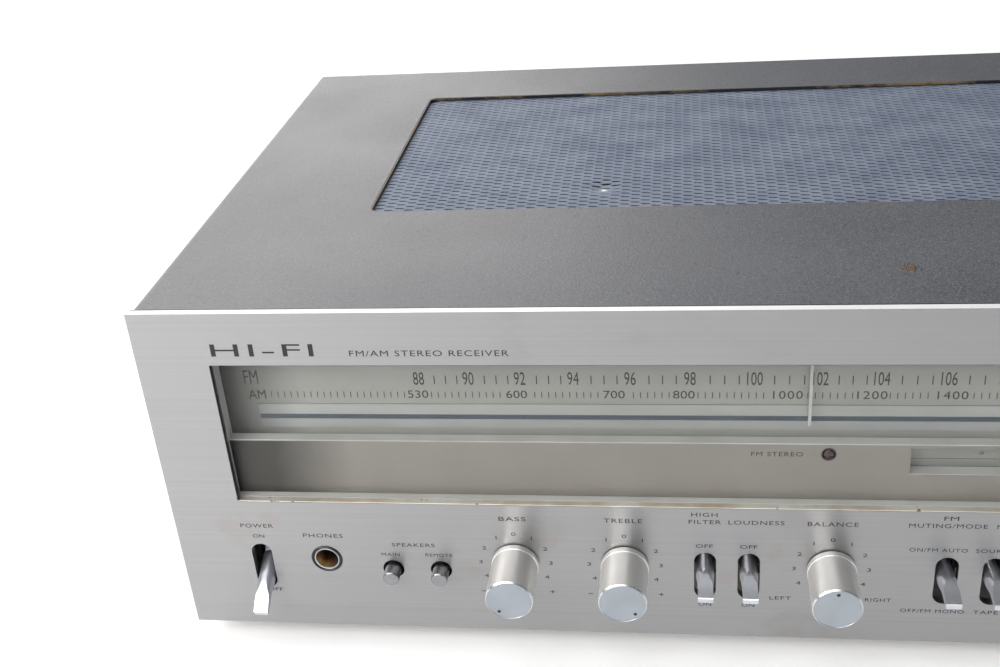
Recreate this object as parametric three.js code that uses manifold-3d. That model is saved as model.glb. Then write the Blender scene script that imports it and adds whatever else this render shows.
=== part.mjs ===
// A stereo receiver: brushed front plate with a glass dial window, knobs, levers and buttons,
// a wrap-over steel cover with an open vent, a chassis with the main electrical parts, and the
// sockets on its back panel. Millimetres, +Z up, front facing -Y, origin on the floor under the
// middle of the whole part.

import * as THREE from 'three';
import Module from 'manifold-3d';
import { ConvexGeometry } from 'three/addons/geometries/ConvexGeometry.js';
import { mergeVertices } from 'three/addons/utils/BufferGeometryUtils.js';

const wasm = await Module();
wasm.setup();

// ---- driving dimensions ----
const WIDTH = 450;
const FOOT_HEIGHT = 10;
const PLATE_HEIGHT = 134;
const HEIGHT = FOOT_HEIGHT + PLATE_HEIGHT;
const PLATE_THICKNESS = 2.8;
const COVER_DEPTH = 264;
const SHEET = 1.2;
const GAP = 0.3;
const BEHIND_PLATE = PLATE_THICKNESS + 0.4;
const COVER_DROP = 0.5;
const COVER_BEND = 3;
const CASE_TOP = HEIGHT - COVER_DROP - SHEET - GAP;

const REAR_PANEL_Y = COVER_DEPTH - 2;
const REAR_FACE = REAR_PANEL_Y + GAP;
const ANTENNA = { x: -60, y: REAR_FACE + 10, z: 124, length: 150, radius: 5.5, ear: 7 };

// The part's middle, from the tuning knob's face to the antenna's hinge, is at Y = 0.
const TUNING_KNOB_REACH = 24;
const FRONT_Y = (TUNING_KNOB_REACH - ANTENNA.y - ANTENNA.ear) / 2;

const WINDOW = { left: 26.1, right: 345, top: 19.9, bottom: 77.1 };
const VENT = { left: 66.1, right: WIDTH - 66.1, front: 84.9, back: 222.6 };

const CONTROL_DROP = 102.35;
const SLOT = { width: 7.7, length: 20.3, drop: 106.35 };
const LEVER = { pivotY: 12, radius: 3.2, reach: 27.3, upAngle: 5.5, swing: 31.6 };
const KNOB_REACH = 21;
const KNOB_GAP = 0.5;
const SHAFT_RADIUS = 3;
const BUSH_RADIUS = 4.5;

const KNOBS = [
  { name: 'bass', x: 126.2, drop: CONTROL_DROP, radius: 8.5, reach: KNOB_REACH, pot: 12, dot: -142 },
  { name: 'treble', x: 165.5, drop: CONTROL_DROP, radius: 8.5, reach: KNOB_REACH, pot: 12, dot: 136 },
  { name: 'balance', x: 237.1, drop: CONTROL_DROP, radius: 8.5, reach: KNOB_REACH, pot: 12, dot: 0 },
  { name: 'volume', x: 342, drop: CONTROL_DROP, radius: 15.5, reach: KNOB_REACH, pot: 14, dot: -110 },
  { name: 'selector', x: 400, drop: CONTROL_DROP, radius: 11, reach: KNOB_REACH, pot: 14, dot: -30 },
];
const TUNING = { x: 398, drop: 48, radius: 22, shaftRadius: SHAFT_RADIUS, flywheel: 30 };
const LEVERS = [
  { name: 'power_lever', x: 31.3, up: false },
  { name: 'high_filter_lever', x: 193.7, up: true },
  { name: 'loudness_lever', x: 208.9, up: true },
  { name: 'fm_mode_lever', x: 275.7, up: true },
  { name: 'tape_monitor_lever', x: 291.35, up: true },
];
const SPEAKER_BUTTONS = [
  { name: 'speaker_main_button', x: 80.7 },
  { name: 'speaker_remote_button', x: 98.5 },
];
const BUTTON = { drop: 106.5, radius: 3, hole: 3.95, reach: 6.2 };
const JACK = { x: 55.9, drop: 102.5, bore: 3.25, ring: 4.95, hole: 5.9 };

const DIAL_Y = 10;
const LOWER_Y = 6;
const POINTER_X = 228;
const RAIL = { y: 15, drop: 12, radius: 1.4 };
const LEDGE = { drop: 54.35, thickness: 1 };
const METER = { left: 261, right: 327, top: 56.2, bottom: 66.2, depth: 5, wall: 0.55 };
const LAMP = { x: 234.7, drop: 58.2, radius: 1.85 };
const DRUM = { x: 250, z: 96, radius: 40, y: 34, thickness: 8 };

// ---- finishes ----
const FINISHES = {
  brushedAluminium: { color: 0xb9b9b5, roughness: 0.38, metalness: 0.9 },
  satinAluminium: { color: 0xc9ccce, roughness: 0.3, metalness: 0.9 },
  chrome: { color: 0xd4d4d2, roughness: 0.12, metalness: 1 },
  greyPaint: { color: 0x5c6066, roughness: 0.5, metalness: 0.25 },
  grilleMetal: { color: 0x4a5058, roughness: 0.5, metalness: 0.5 },
  zincSteel: { color: 0xa3a29b, roughness: 0.45, metalness: 0.85 },
  blackPlastic: { color: 0x17181a, roughness: 0.5, metalness: 0 },
  dialSilver: { color: 0xaeb3ad, roughness: 0.45, metalness: 0.4 },
  dialGlass: { color: 0xc4d0c8, roughness: 0.05, metalness: 0 },
  whitePaint: { color: 0xe8e6df, roughness: 0.4, metalness: 0 },
  redLamp: { color: 0xb01818, roughness: 0.2, metalness: 0 },
  copperCore: { color: 0x6d5a48, roughness: 0.55, metalness: 0.5 },
  boardBrown: { color: 0x7a6238, roughness: 0.65, metalness: 0 },
  rubber: { color: 0x222224, roughness: 0.85, metalness: 0 },
};

// ---- shape helpers ----
const toX = (fromLeft) => fromLeft - WIDTH / 2;
const toZ = (fromTop) => HEIGHT - fromTop;

function solid(geometry) {
  const bare = geometry.index ? geometry.toNonIndexed() : geometry.clone();
  bare.deleteAttribute('normal');
  bare.deleteAttribute('uv');
  const merged = mergeVertices(bare, 1e-4);
  return new wasm.Manifold(new wasm.Mesh({
    numProp: 3,
    vertProperties: new Float32Array(merged.attributes.position.array),
    triVerts: new Uint32Array(merged.index.array),
  }));
}

function geometryOf(manifold) {
  const mesh = manifold.getMesh();
  const geometry = new THREE.BufferGeometry();
  geometry.setAttribute('position', new THREE.BufferAttribute(new Float32Array(mesh.vertProperties), 3));
  geometry.setIndex(new THREE.BufferAttribute(new Uint32Array(mesh.triVerts), 1));
  const flat = geometry.toNonIndexed();
  flat.computeVertexNormals();
  return flat;
}

function box(x0, x1, y0, y1, z0, z1) {
  const geometry = new THREE.BoxGeometry(x1 - x0, y1 - y0, z1 - z0);
  geometry.translate((x0 + x1) / 2, (y0 + y1) / 2, (z0 + z1) / 2);
  return solid(geometry);
}

// A round piece along Y, from a profile of [radius, y] points whose y grows along its outer side.
function turned(profile, x, z, segments = 24) {
  const points = profile.map(([radius, y]) => new THREE.Vector2(radius, y));
  const geometry = new THREE.LatheGeometry(points, segments);
  geometry.translate(x, 0, z);
  return solid(geometry);
}

function rod(radius, y0, y1, x, z, segments = 16) {
  return turned([[0, y0], [radius, y0], [radius, y1], [0, y1]], x, z, segments);
}

function verticalRod(radius, z0, z1, x, y, segments = 20) {
  const geometry = new THREE.CylinderGeometry(radius, radius, z1 - z0, segments);
  geometry.rotateX(Math.PI / 2);
  geometry.translate(x, y, (z0 + z1) / 2);
  return solid(geometry);
}

function crosswiseRod(radius, x0, x1, y, z, segments = 16) {
  const geometry = new THREE.CylinderGeometry(radius, radius, x1 - x0, segments);
  geometry.rotateZ(Math.PI / 2);
  geometry.translate((x0 + x1) / 2, y, z);
  return solid(geometry);
}

// A flat plate lying across Y, from a shape drawn in X and Z.
function plate(shape, y0, y1, curveSegments = 6) {
  const geometry = new THREE.ExtrudeGeometry(shape, { depth: y1 - y0, bevelEnabled: false, curveSegments });
  geometry.rotateX(Math.PI / 2);
  geometry.translate(0, y1, 0);
  return solid(geometry);
}

function rectangle(x0, x1, z0, z1) {
  const shape = new THREE.Shape();
  shape.moveTo(x0, z0);
  shape.lineTo(x1, z0);
  shape.lineTo(x1, z1);
  shape.lineTo(x0, z1);
  shape.closePath();
  return shape;
}

function stadium(x, z, width, length) {
  const radius = width / 2;
  const straight = length / 2 - radius;
  const shape = new THREE.Shape();
  shape.absarc(x, z + straight, radius, 0, Math.PI, false);
  shape.absarc(x, z - straight, radius, Math.PI, 2 * Math.PI, false);
  shape.closePath();
  return shape;
}

function slotCutter(x, width, length, y0, y1) {
  return plate(stadium(x, toZ(SLOT.drop), width, length), y0, y1);
}

function unite(solids) {
  return solids.reduce((whole, next) => whole.add(next));
}

function cut(whole, cutters) {
  return cutters.reduce((rest, cutter) => rest.subtract(cutter), whole);
}

// ---- assembly ----
const receiver = new THREE.Group();
const assembly = new THREE.Group();
assembly.position.y = FRONT_Y;
receiver.add(assembly);

function add(name, manifold, finish) {
  const mesh = new THREE.Mesh(geometryOf(manifold), new THREE.MeshStandardMaterial(FINISHES[finish]));
  mesh.name = name;
  assembly.add(mesh);
  return mesh;
}

// ---- front plate and sub-panel ----
function controlHoles(y0, y1, extra) {
  const holes = LEVERS.map(({ x }) => slotCutter(toX(x), SLOT.width + extra, SLOT.length + extra, y0, y1));
  for (const { x, drop } of [...KNOBS, TUNING]) {
    holes.push(rod(BUSH_RADIUS + 0.4, y0, y1, toX(x), toZ(drop)));
  }
  for (const { x } of SPEAKER_BUTTONS) {
    holes.push(rod(BUTTON.hole, y0, y1, toX(x), toZ(BUTTON.drop)));
  }
  holes.push(rod(JACK.hole, y0, y1, toX(JACK.x), toZ(JACK.drop), 24));
  return holes;
}

function frontPlate() {
  const blank = box(-WIDTH / 2, WIDTH / 2, 0, PLATE_THICKNESS, FOOT_HEIGHT, HEIGHT);
  const opening = box(toX(WINDOW.left), toX(WINDOW.right), -1, 4, toZ(WINDOW.bottom), toZ(WINDOW.top));
  return cut(blank, [opening, ...controlHoles(-1, 4, 0)]);
}

function subPanel() {
  const y0 = BEHIND_PLATE;
  const y1 = y0 + SHEET;
  const bushX = toX(TUNING.x);
  const bushZ = toZ(TUNING.drop);
  const sheet = box(-220, 220, y0, y1, FOOT_HEIGHT + 2, HEIGHT - 4);
  const { left, right, top, bottom } = WINDOW;
  const opening = box(toX(left - 4), toX(right + 4), 0, 9, toZ(bottom + 4), toZ(top - 3));
  const bush = rod(6, y0 + 0.1, 18, bushX, bushZ);
  const bore = rod(SHAFT_RADIUS + GAP, 0, 20, bushX, bushZ);
  return cut(cut(sheet, [opening, ...controlHoles(0, 9, 1.6)]).add(bush), [bore]);
}

add('front_plate', frontPlate(), 'brushedAluminium');
add('sub_panel', subPanel(), 'zincSteel');

// ---- cover, vent and chassis ----
function coverOutline(inset) {
  const half = WIDTH / 2 - inset;
  const top = HEIGHT - COVER_DROP - inset;
  const radius = COVER_BEND - inset;
  const hem = FOOT_HEIGHT + COVER_DROP - inset;
  const shape = new THREE.Shape();
  shape.moveTo(-half, hem);
  shape.lineTo(half, hem);
  shape.lineTo(half, top - radius);
  shape.absarc(half - radius, top - radius, radius, 0, Math.PI / 2, false);
  shape.lineTo(-half + radius, top);
  shape.absarc(-half + radius, top - radius, radius, Math.PI / 2, Math.PI, false);
  shape.closePath();
  return shape;
}

function topCover() {
  const y0 = BEHIND_PLATE;
  const outside = plate(coverOutline(0), y0, COVER_DEPTH, 4);
  const inside = plate(coverOutline(SHEET), y0 - 1, COVER_DEPTH + 1, 4);
  const vent = box(toX(VENT.left), toX(VENT.right), VENT.front, VENT.back, HEIGHT - 10, HEIGHT + 5);
  return cut(outside, [inside, vent]);
}

const GRILLE = { border: 6, thickness: 1, slots: 24, slotWidth: 3.2 };
function topGrille() {
  const { border, thickness, slots, slotWidth } = GRILLE;
  const left = toX(VENT.left);
  const front = VENT.front - border;
  const back = VENT.back + border;
  const panel = box(left - border, toX(VENT.right) + border, front, back, CASE_TOP - thickness, CASE_TOP);
  const pitch = (VENT.right - VENT.left) / slots;
  const cutters = [];
  for (let i = 0; i < slots; i += 1) {
    const x0 = left + pitch * (i + 0.5) - slotWidth / 2;
    cutters.push(box(x0, x0 + slotWidth, front + 2 * border, back - 2 * border, CASE_TOP - 3, CASE_TOP + 2));
  }
  return cut(panel, cutters);
}

const FLOOR_SLOTS = { count: 6, left: 20, pitch: 24, width: 12, front: 130, back: 200 };
function bottomPlate() {
  const half = WIDTH / 2 - SHEET - 0.5;
  const y0 = BEHIND_PLATE;
  const pan = box(-half, half, y0, COVER_DEPTH - 0.5, FOOT_HEIGHT, FOOT_HEIGHT + SHEET);
  const flanges = [-1, 1].map((side) => {
    const outer = side * half;
    const inner = side * (half - SHEET);
    return box(Math.min(outer, inner), Math.max(outer, inner), 10, COVER_DEPTH - 3, FOOT_HEIGHT + 0.5, 26);
  });
  const slots = [];
  for (let i = 0; i < FLOOR_SLOTS.count; i += 1) {
    const x = FLOOR_SLOTS.left + i * FLOOR_SLOTS.pitch;
    const { width, front, back } = FLOOR_SLOTS;
    slots.push(box(x, x + width, front, back, FOOT_HEIGHT - 1, FOOT_HEIGHT + 3));
  }
  return cut(unite([pan, ...flanges]), slots);
}

const GLAND = { x: -175, z: 40, hole: 6.4, neck: 6, collar: 8.5, bore: 3.6 };
function rearPanel() {
  const half = WIDTH / 2 - SHEET * 2 - 1;
  const z0 = FOOT_HEIGHT + SHEET + GAP;
  const sheet = box(-half, half, REAR_PANEL_Y - SHEET, REAR_PANEL_Y, z0, CASE_TOP);
  return cut(sheet, [rod(GLAND.hole, REAR_PANEL_Y - 4, REAR_PANEL_Y + 4, GLAND.x, GLAND.z)]);
}

add('top_cover', topCover(), 'greyPaint');
add('top_grille', topGrille(), 'grilleMetal');
add('bottom_plate', bottomPlate(), 'zincSteel');
add('rear_panel', rearPanel(), 'zincSteel');

const FOOT = { radius: 12, chamfer: 1, fromMiddle: 185, fromEdge: 36 };
function foot(x, y) {
  const { radius, chamfer } = FOOT;
  const top = FOOT_HEIGHT - GAP;
  const profile = [[0, 0], [radius - chamfer, 0], [radius, chamfer], [radius, top], [0, top]];
  const geometry = new THREE.LatheGeometry(profile.map(([r, h]) => new THREE.Vector2(r, h)), 20);
  geometry.rotateX(Math.PI / 2);
  geometry.translate(x, y, 0);
  return solid(geometry);
}

for (const [row, y] of [['front', FOOT.fromEdge], ['rear', COVER_DEPTH - FOOT.fromEdge]]) {
  for (const [side, x] of [['left', -FOOT.fromMiddle], ['right', FOOT.fromMiddle]]) {
    add(`foot_${row}_${side}`, foot(x, y), 'rubber');
  }
}

// ---- dial window ----
function insideWindow(y0, y1, left, right, top, bottom) {
  return box(toX(left), toX(right), y0, y1, toZ(bottom), toZ(top));
}

const NEEDLE = { x: 306, drop: 62.2, length: 5, y: LOWER_Y + 3.4, restAngle: -50 };
const DIAL_LEFT = WINDOW.left - 3;
const DIAL_RIGHT = WINDOW.right + 3;

// A bent sheet: the ledge under the dial runs forward to the upright lower plate.
function lowerPlate() {
  const { drop, thickness } = LEDGE;
  const ledge = insideWindow(LOWER_Y, DIAL_Y + 1, DIAL_LEFT, DIAL_RIGHT, drop, drop + thickness);
  const upright = insideWindow(LOWER_Y, LOWER_Y + 1, DIAL_LEFT, DIAL_RIGHT, drop, WINDOW.bottom + 3);
  const lampHole = rod(LAMP.radius + GAP, 0, 30, toX(LAMP.x), toZ(LAMP.drop));
  const meterHole = insideWindow(0, 30, METER.left, METER.right, drop + thickness + GAP, METER.bottom);
  return cut(ledge.add(upright), [meterHole, lampHole]);
}

function meterCase() {
  const { left, right, top, bottom, depth, wall } = METER;
  const front = LOWER_Y + 1 + GAP;
  const whole = insideWindow(front, 26, left - 1, right + 1, top - wall, bottom + 1);
  const face = insideWindow(0, LOWER_Y + depth, left, right, top, bottom);
  const coilBore = rod(3, LOWER_Y + depth - 1, LOWER_Y + depth + 11, toX(NEEDLE.x), toZ(NEEDLE.drop), 12);
  return cut(whole, [face, coilBore]);
}

function meterNeedle() {
  const x = toX(NEEDLE.x);
  const z = toZ(NEEDLE.drop);
  const coilFront = LOWER_Y + METER.depth + GAP;
  const hub = rod(0.6, NEEDLE.y - 0.4, coilFront + 1, 0, 0, 8);
  const coil = rod(2.5, coilFront, coilFront + 9, 0, 0, 12);
  const blade = box(-0.2, 0.2, NEEDLE.y - 0.2, NEEDLE.y + 0.2, 0, NEEDLE.length);
  return unite([hub, coil, blade]).rotate([0, NEEDLE.restAngle, 0]).translate([x, 0, z]);
}

function dialPointer() {
  const x = toX(POINTER_X);
  const needle = box(x - 0.5, x + 0.5, 7.4, 8.2, toZ(47.8), toZ(14));
  const bridge = box(x - 2.5, x + 2.5, 7.4, RAIL.y + 4, toZ(15.6), toZ(14));
  const carriage = box(x - 7, x + 7, RAIL.y - 3.4, RAIL.y + 3.4, toZ(15.8), toZ(8.6));
  const bore = crosswiseRod(RAIL.radius + GAP, x - 9, x + 9, RAIL.y, toZ(RAIL.drop));
  return cut(unite([needle, bridge, carriage]), [bore]);
}

function stereoLamp() {
  const x = toX(LAMP.x);
  const z = toZ(LAMP.drop);
  const r = LAMP.radius;
  const profile = [[0, LOWER_Y - 0.6], [r * 0.6, LOWER_Y - 0.4], [r, LOWER_Y + 0.3], [r, 14], [0, 14]];
  return turned(profile, x, z, 16);
}

const GLASS = { y: 3.1, thickness: 2, border: 2 };
function dialWindow() {
  const { y, thickness, border } = GLASS;
  const { left, right, top, bottom } = WINDOW;
  return insideWindow(y, y + thickness, left - border, right + border, top - border, bottom + border);
}

const DIAL_TOP = 18;
function dialPlate() {
  return insideWindow(DIAL_Y, DIAL_Y + 1, DIAL_LEFT, DIAL_RIGHT, DIAL_TOP, LEDGE.drop - GAP);
}

add('dial_window', dialWindow(), 'dialGlass');
add('dial_plate', dialPlate(), 'dialSilver');
add('lower_plate', lowerPlate(), 'dialSilver');
add('meter_case', meterCase(), 'blackPlastic');
add('meter_needle', meterNeedle(), 'blackPlastic');
add('stereo_lamp', stereoLamp(), 'redLamp');
add('pointer_rail', crosswiseRod(RAIL.radius, toX(24), toX(350), RAIL.y, toZ(RAIL.drop), 12), 'chrome');
add('dial_pointer', dialPointer(), 'whitePaint');

// ---- rotary controls ----
function knob({ x, drop, radius, reach, dot }) {
  const back = -KNOB_GAP;
  const front = -reach;
  const bore = SHAFT_RADIUS + GAP;
  const profile = [
    [0, front], [radius - 1.3, front], [radius - 0.5, front + 0.8], [radius - 0.3, -3.2],
    [radius, -3], [radius, back], [bore, back], [bore, front + 4], [0, front + 4],
  ];
  const body = turned(profile, toX(x), toZ(drop), radius > 12 ? 32 : 24);
  const angle = THREE.MathUtils.degToRad(dot);
  const out = radius - 2.6;
  const markX = toX(x) + out * Math.sin(angle);
  const markZ = toZ(drop) + out * Math.cos(angle);
  const mark = rod(0.7, front - 1, front + 0.4, markX, markZ, 8);
  return cut(body, [mark]);
}

function potentiometer({ x, drop, pot }) {
  const profile = [
    [SHAFT_RADIUS + GAP, 1], [BUSH_RADIUS, 1], [BUSH_RADIUS, 5], [pot, 5], [pot, 20], [0, 20],
    [0, 19], [SHAFT_RADIUS + GAP, 19], [SHAFT_RADIUS + GAP, 1],
  ];
  return turned(profile, toX(x), toZ(drop), 16);
}

for (const control of KNOBS) {
  const { name, x, drop, reach } = control;
  add(`${name}_knob`, knob(control), 'satinAluminium');
  add(`${name}_shaft`, rod(SHAFT_RADIUS, -reach + 4 + GAP, 18.5, toX(x), toZ(drop)), 'zincSteel');
  add(name === 'selector' ? 'selector_switch' : `${name}_control`, potentiometer(control), 'zincSteel');
}

function tuningShaft() {
  const { x, drop, flywheel } = TUNING;
  const profile = [
    [0, -TUNING_KNOB_REACH + 4 + GAP], [SHAFT_RADIUS, -TUNING_KNOB_REACH + 4 + GAP], [SHAFT_RADIUS, 22],
    [4.5, 22], [4.5, 30], [flywheel, 30], [flywheel, 40], [SHAFT_RADIUS, 40], [SHAFT_RADIUS, 44], [0, 44],
  ];
  return turned(profile, toX(x), toZ(drop), 28);
}

add('tuning_knob', knob({ ...TUNING, reach: TUNING_KNOB_REACH, dot: 0 }), 'satinAluminium');
add('tuning_shaft', tuningShaft(), 'zincSteel');

// ---- levers and their switches ----
function lever({ x, up }) {
  const { pivotY, radius, reach, upAngle, swing } = LEVER;
  const shoulder = 15;
  const tip = { half: 2.7, bottom: -2.3, top: -0.2 };
  const points = [];
  for (const s of [4, shoulder]) {
    for (let i = 0; i < 16; i += 1) {
      const a = (i / 16) * 2 * Math.PI;
      points.push(new THREE.Vector3(radius * Math.cos(a), -s, radius * Math.sin(a)));
    }
  }
  for (const side of [-tip.half, tip.half]) {
    points.push(new THREE.Vector3(side, -reach, tip.bottom));
    points.push(new THREE.Vector3(side, -reach, radius));
  }
  const slope = new THREE.Shape();
  slope.moveTo(-shoulder, radius);
  slope.lineTo(-reach, tip.top);
  slope.lineTo(-reach - 5, tip.top);
  slope.lineTo(-reach - 5, radius + 5);
  slope.lineTo(-shoulder, radius + 5);
  slope.closePath();
  const wedge = new THREE.ExtrudeGeometry(slope, { depth: 20, bevelEnabled: false });
  wedge.translate(0, 0, -10);
  wedge.applyMatrix4(new THREE.Matrix4().set(0, 0, 1, 0, 1, 0, 0, 0, 0, 1, 0, 0, 0, 0, 0, 1));
  const arm = solid(new ConvexGeometry(points)).subtract(solid(wedge));
  const hub = crosswiseRod(4.6, -2, 2, 0, 0);
  const whole = cut(arm.add(hub), [crosswiseRod(1.2, -6, 6, 0, 0, 10)]);
  const angle = up ? upAngle : upAngle - swing;
  return whole.rotate([-angle, 0, 0]).translate([toX(x), pivotY, toZ(SLOT.drop)]);
}

function leverSwitch(lefts) {
  const z = toZ(SLOT.drop);
  const first = toX(lefts[0]);
  const last = toX(lefts[lefts.length - 1]);
  const pieces = [box(first - 6, last + 6, 18.5, 32, z - 9, z + 9)];
  for (const left of lefts) {
    for (const side of [-1, 1]) {
      const cheek = toX(left) + side * 4;
      pieces.push(box(cheek - 0.5, cheek + 0.5, 8, 19, z - 5, z + 5));
    }
    pieces.push(crosswiseRod(0.9, toX(left) - 4, toX(left) + 4, LEVER.pivotY, z, 10));
  }
  return unite(pieces);
}

for (const item of LEVERS) {
  add(item.name, lever(item), 'chrome');
}
add('power_switch', leverSwitch([LEVERS[0].x]), 'blackPlastic');
add('filter_switch', leverSwitch([LEVERS[1].x, LEVERS[2].x]), 'blackPlastic');
add('mode_switch', leverSwitch([LEVERS[3].x, LEVERS[4].x]), 'blackPlastic');

// ---- speaker buttons and headphone socket ----
function speakerButton(x) {
  const r = BUTTON.radius;
  const stem = 1.6;
  const profile = [
    [0, -BUTTON.reach], [r - 0.4, -BUTTON.reach], [r, -BUTTON.reach + 0.4],
    [r, 9], [stem, 9], [stem, 22], [0, 22],
  ];
  return turned(profile, toX(x), toZ(BUTTON.drop), 20);
}

function speakerSwitch() {
  const z = toZ(BUTTON.drop);
  const whole = box(toX(73), toX(106), 14.2, 40, z - 7, z + 7);
  return cut(whole, SPEAKER_BUTTONS.map(({ x }) => rod(2, 10, 28, toX(x), z, 12)));
}

function phonesJack() {
  const z = toZ(JACK.drop);
  const x = toX(JACK.x);
  const bush = rod(JACK.ring, 0, 6, x, z, 24);
  const block = box(x - 7.5, x + 7.5, 5.2, 38, z - 8, z + 8);
  const mouth = turned([[0, -1], [4.7, -1], [4.4, 0], [JACK.bore, 2.4], [JACK.bore, 34], [0, 34]], x, z);
  return cut(bush.add(block), [mouth]);
}

for (const { name, x } of SPEAKER_BUTTONS) {
  add(name, speakerButton(x), 'satinAluminium');
}
add('speaker_switch', speakerSwitch(), 'blackPlastic');
add('phones_jack', phonesJack(), 'chrome');

// ---- parts on the chassis ----
function powerTransformer() {
  const core = box(-165, -95, 178, 232, 14, 74);
  const winding = box(-156, -104, 166, 244, 22, 66);
  const lugs = box(-176, -84, 196, 214, 11.6, 16);
  return unite([core, winding, lugs]);
}

const HEAT_SINK = { left: 40, right: 190, front: 228, back: 250, low: 16, high: 100, fins: 11, fin: 3 };
function heatSink() {
  const { left, right, front, back, low, high, fins, fin } = HEAT_SINK;
  const pitch = (right - left - fin) / (fins - 1);
  const pieces = [box(left, right, back - 6, back, low, high)];
  for (let i = 0; i < fins; i += 1) {
    pieces.push(box(left + i * pitch, left + i * pitch + fin, front, back - 5, low, high));
  }
  return unite(pieces);
}

const BOARD = { left: -60, right: 205, front: 70, back: 222, z: 22, thickness: 1.6, post: 4, inset: 6 };
function mainBoard() {
  const { left, right, front, back, z, thickness, post, inset } = BOARD;
  const pieces = [box(left, right, front, back, z, z + thickness)];
  for (const x of [left + inset, right - inset]) {
    for (const y of [front + inset, back - inset]) {
      pieces.push(verticalRod(post, FOOT_HEIGHT + SHEET + GAP, z + 0.5, x, y, 10));
    }
  }
  return unite(pieces);
}

function tuningCapacitor() {
  const x = toX(DRUM.x);
  const body = box(x - 20, x + 20, DRUM.y + 16, DRUM.y + 62, DRUM.z - 22, DRUM.z + 22);
  const leg = box(x - 16, x + 16, DRUM.y + 26, DRUM.y + 52, 24, DRUM.z - 21);
  const spindle = rod(SHAFT_RADIUS, DRUM.y + 1, DRUM.y + 17, x, DRUM.z);
  const vanes = [];
  for (let i = 0; i < 5; i += 1) {
    const y = DRUM.y + 21 + i * 8;
    vanes.push(box(x - 17, x + 17, y, y + 3, DRUM.z + 4, DRUM.z + 30));
  }
  return cut(unite([body, leg, spindle]), vanes);
}

function dialDrum() {
  const y0 = DRUM.y;
  const y1 = DRUM.y + DRUM.thickness;
  const bore = SHAFT_RADIUS + GAP;
  const profile = [
    [bore, y0], [DRUM.radius, y0], [DRUM.radius, y0 + 2.5], [DRUM.radius - 2, y0 + 3.5],
    [DRUM.radius, y0 + 4.5], [DRUM.radius, y1], [bore, y1], [bore, y0],
  ];
  const notch = box(toX(DRUM.x) - 3, toX(DRUM.x) + 3, y0 - 1, y1 + 1, DRUM.z + 14, DRUM.z + 30);
  return cut(turned(profile, toX(DRUM.x), DRUM.z, 32), [notch]);
}

add('power_transformer', powerTransformer(), 'copperCore');
add('heat_sink', heatSink(), 'blackPlastic');
add('main_board', mainBoard(), 'boardBrown');
add('tuning_capacitor', tuningCapacitor(), 'zincSteel');
add('dial_drum', dialDrum(), 'blackPlastic');

// ---- parts on the back panel ----
const PHONO = { left: -30, low: 86, high: 124, columns: 5, pitch: 18, radius: 4.2, bore: 1.7, reach: 10 };
function phonoSockets() {
  const { left, low, high, columns, pitch, radius, bore, reach } = PHONO;
  const right = left + columns * pitch + 6;
  const pieces = [box(left, right, REAR_FACE, REAR_FACE + 1.6, low, high)];
  const bores = [];
  for (let i = 0; i < columns; i += 1) {
    for (const z of [low + 10, high - 10]) {
      const x = left + 12 + i * pitch;
      pieces.push(rod(radius, REAR_FACE + 1, REAR_FACE + reach, x, z, 12));
      bores.push(rod(bore, REAR_FACE + 2.4, REAR_FACE + reach + 2, x, z, 8));
    }
  }
  return cut(unite(pieces), bores);
}

const TERMINAL = { pitch: 14, half: 10, base: 7, wall: 12, screw: 3.6, screwReach: 10 };
function screwTerminals(x0, count, z) {
  const { pitch, half, base, wall, screw, screwReach } = TERMINAL;
  const x1 = x0 + count * pitch;
  const pieces = [box(x0, x1, REAR_FACE, REAR_FACE + base, z - half, z + half)];
  for (let i = 0; i <= count; i += 1) {
    const x = x0 + i * pitch;
    pieces.push(box(x - 1, x + 1, REAR_FACE, REAR_FACE + wall, z - half, z + half));
  }
  for (let i = 0; i < count; i += 1) {
    pieces.push(rod(screw, REAR_FACE + 6, REAR_FACE + screwReach, x0 + (i + 0.5) * pitch, z, 12));
  }
  return unite(pieces);
}

function cordGland() {
  const y = REAR_PANEL_Y;
  const { bore, neck, collar } = GLAND;
  const profile = [
    [bore, y - 6], [neck, y - 6], [neck, y + GAP], [collar, y + GAP], [collar, y + 3], [neck, y + 12],
    [bore, y + 12], [bore, y - 6],
  ];
  return turned(profile, GLAND.x, GLAND.z, 16);
}

function antennaBracket() {
  const { x, y, z, ear } = ANTENNA;
  const base = box(x - 9, x + 9, REAR_FACE, REAR_FACE + 1.6, z - 13, z + 13);
  const ears = [-1, 1].map((side) => {
    const middle = z + side * 7.5;
    const flat = box(x - ear, x + ear, REAR_FACE + 1, y, middle - 0.8, middle + 0.8);
    return flat.add(verticalRod(ear, middle - 0.8, middle + 0.8, x, y));
  });
  return unite([base, ...ears, verticalRod(2, z - 8, z + 8, x, y, 12)]);
}

function antennaBar() {
  const { x, y, z, length, radius } = ANTENNA;
  const eye = verticalRod(radius, z - 6, z + 6, x, y);
  const bar = crosswiseRod(radius, x - length, x - 2, y, z);
  return cut(eye.add(bar), [verticalRod(2.4, z - 9, z + 9, x, y, 12)]);
}

add('phono_sockets', phonoSockets(), 'blackPlastic');
add('speaker_terminals', screwTerminals(80, 8, 50), 'blackPlastic');
add('antenna_terminals', screwTerminals(90, 4, 108), 'blackPlastic');
add('cord_gland', cordGland(), 'rubber');
add('antenna_bracket', antennaBracket(), 'zincSteel');
add('antenna_bar', antennaBar(), 'blackPlastic');

export default receiver;
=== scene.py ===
"""Looks for the stereo receiver: brushed front plate, printed dial behind glass, turned knobs,
chromed levers, painted cover with an expanded-metal vent, and the fittings on the back."""
import math

import bmesh
import bpy
import numpy as np
from mathutils import Matrix, Vector


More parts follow.
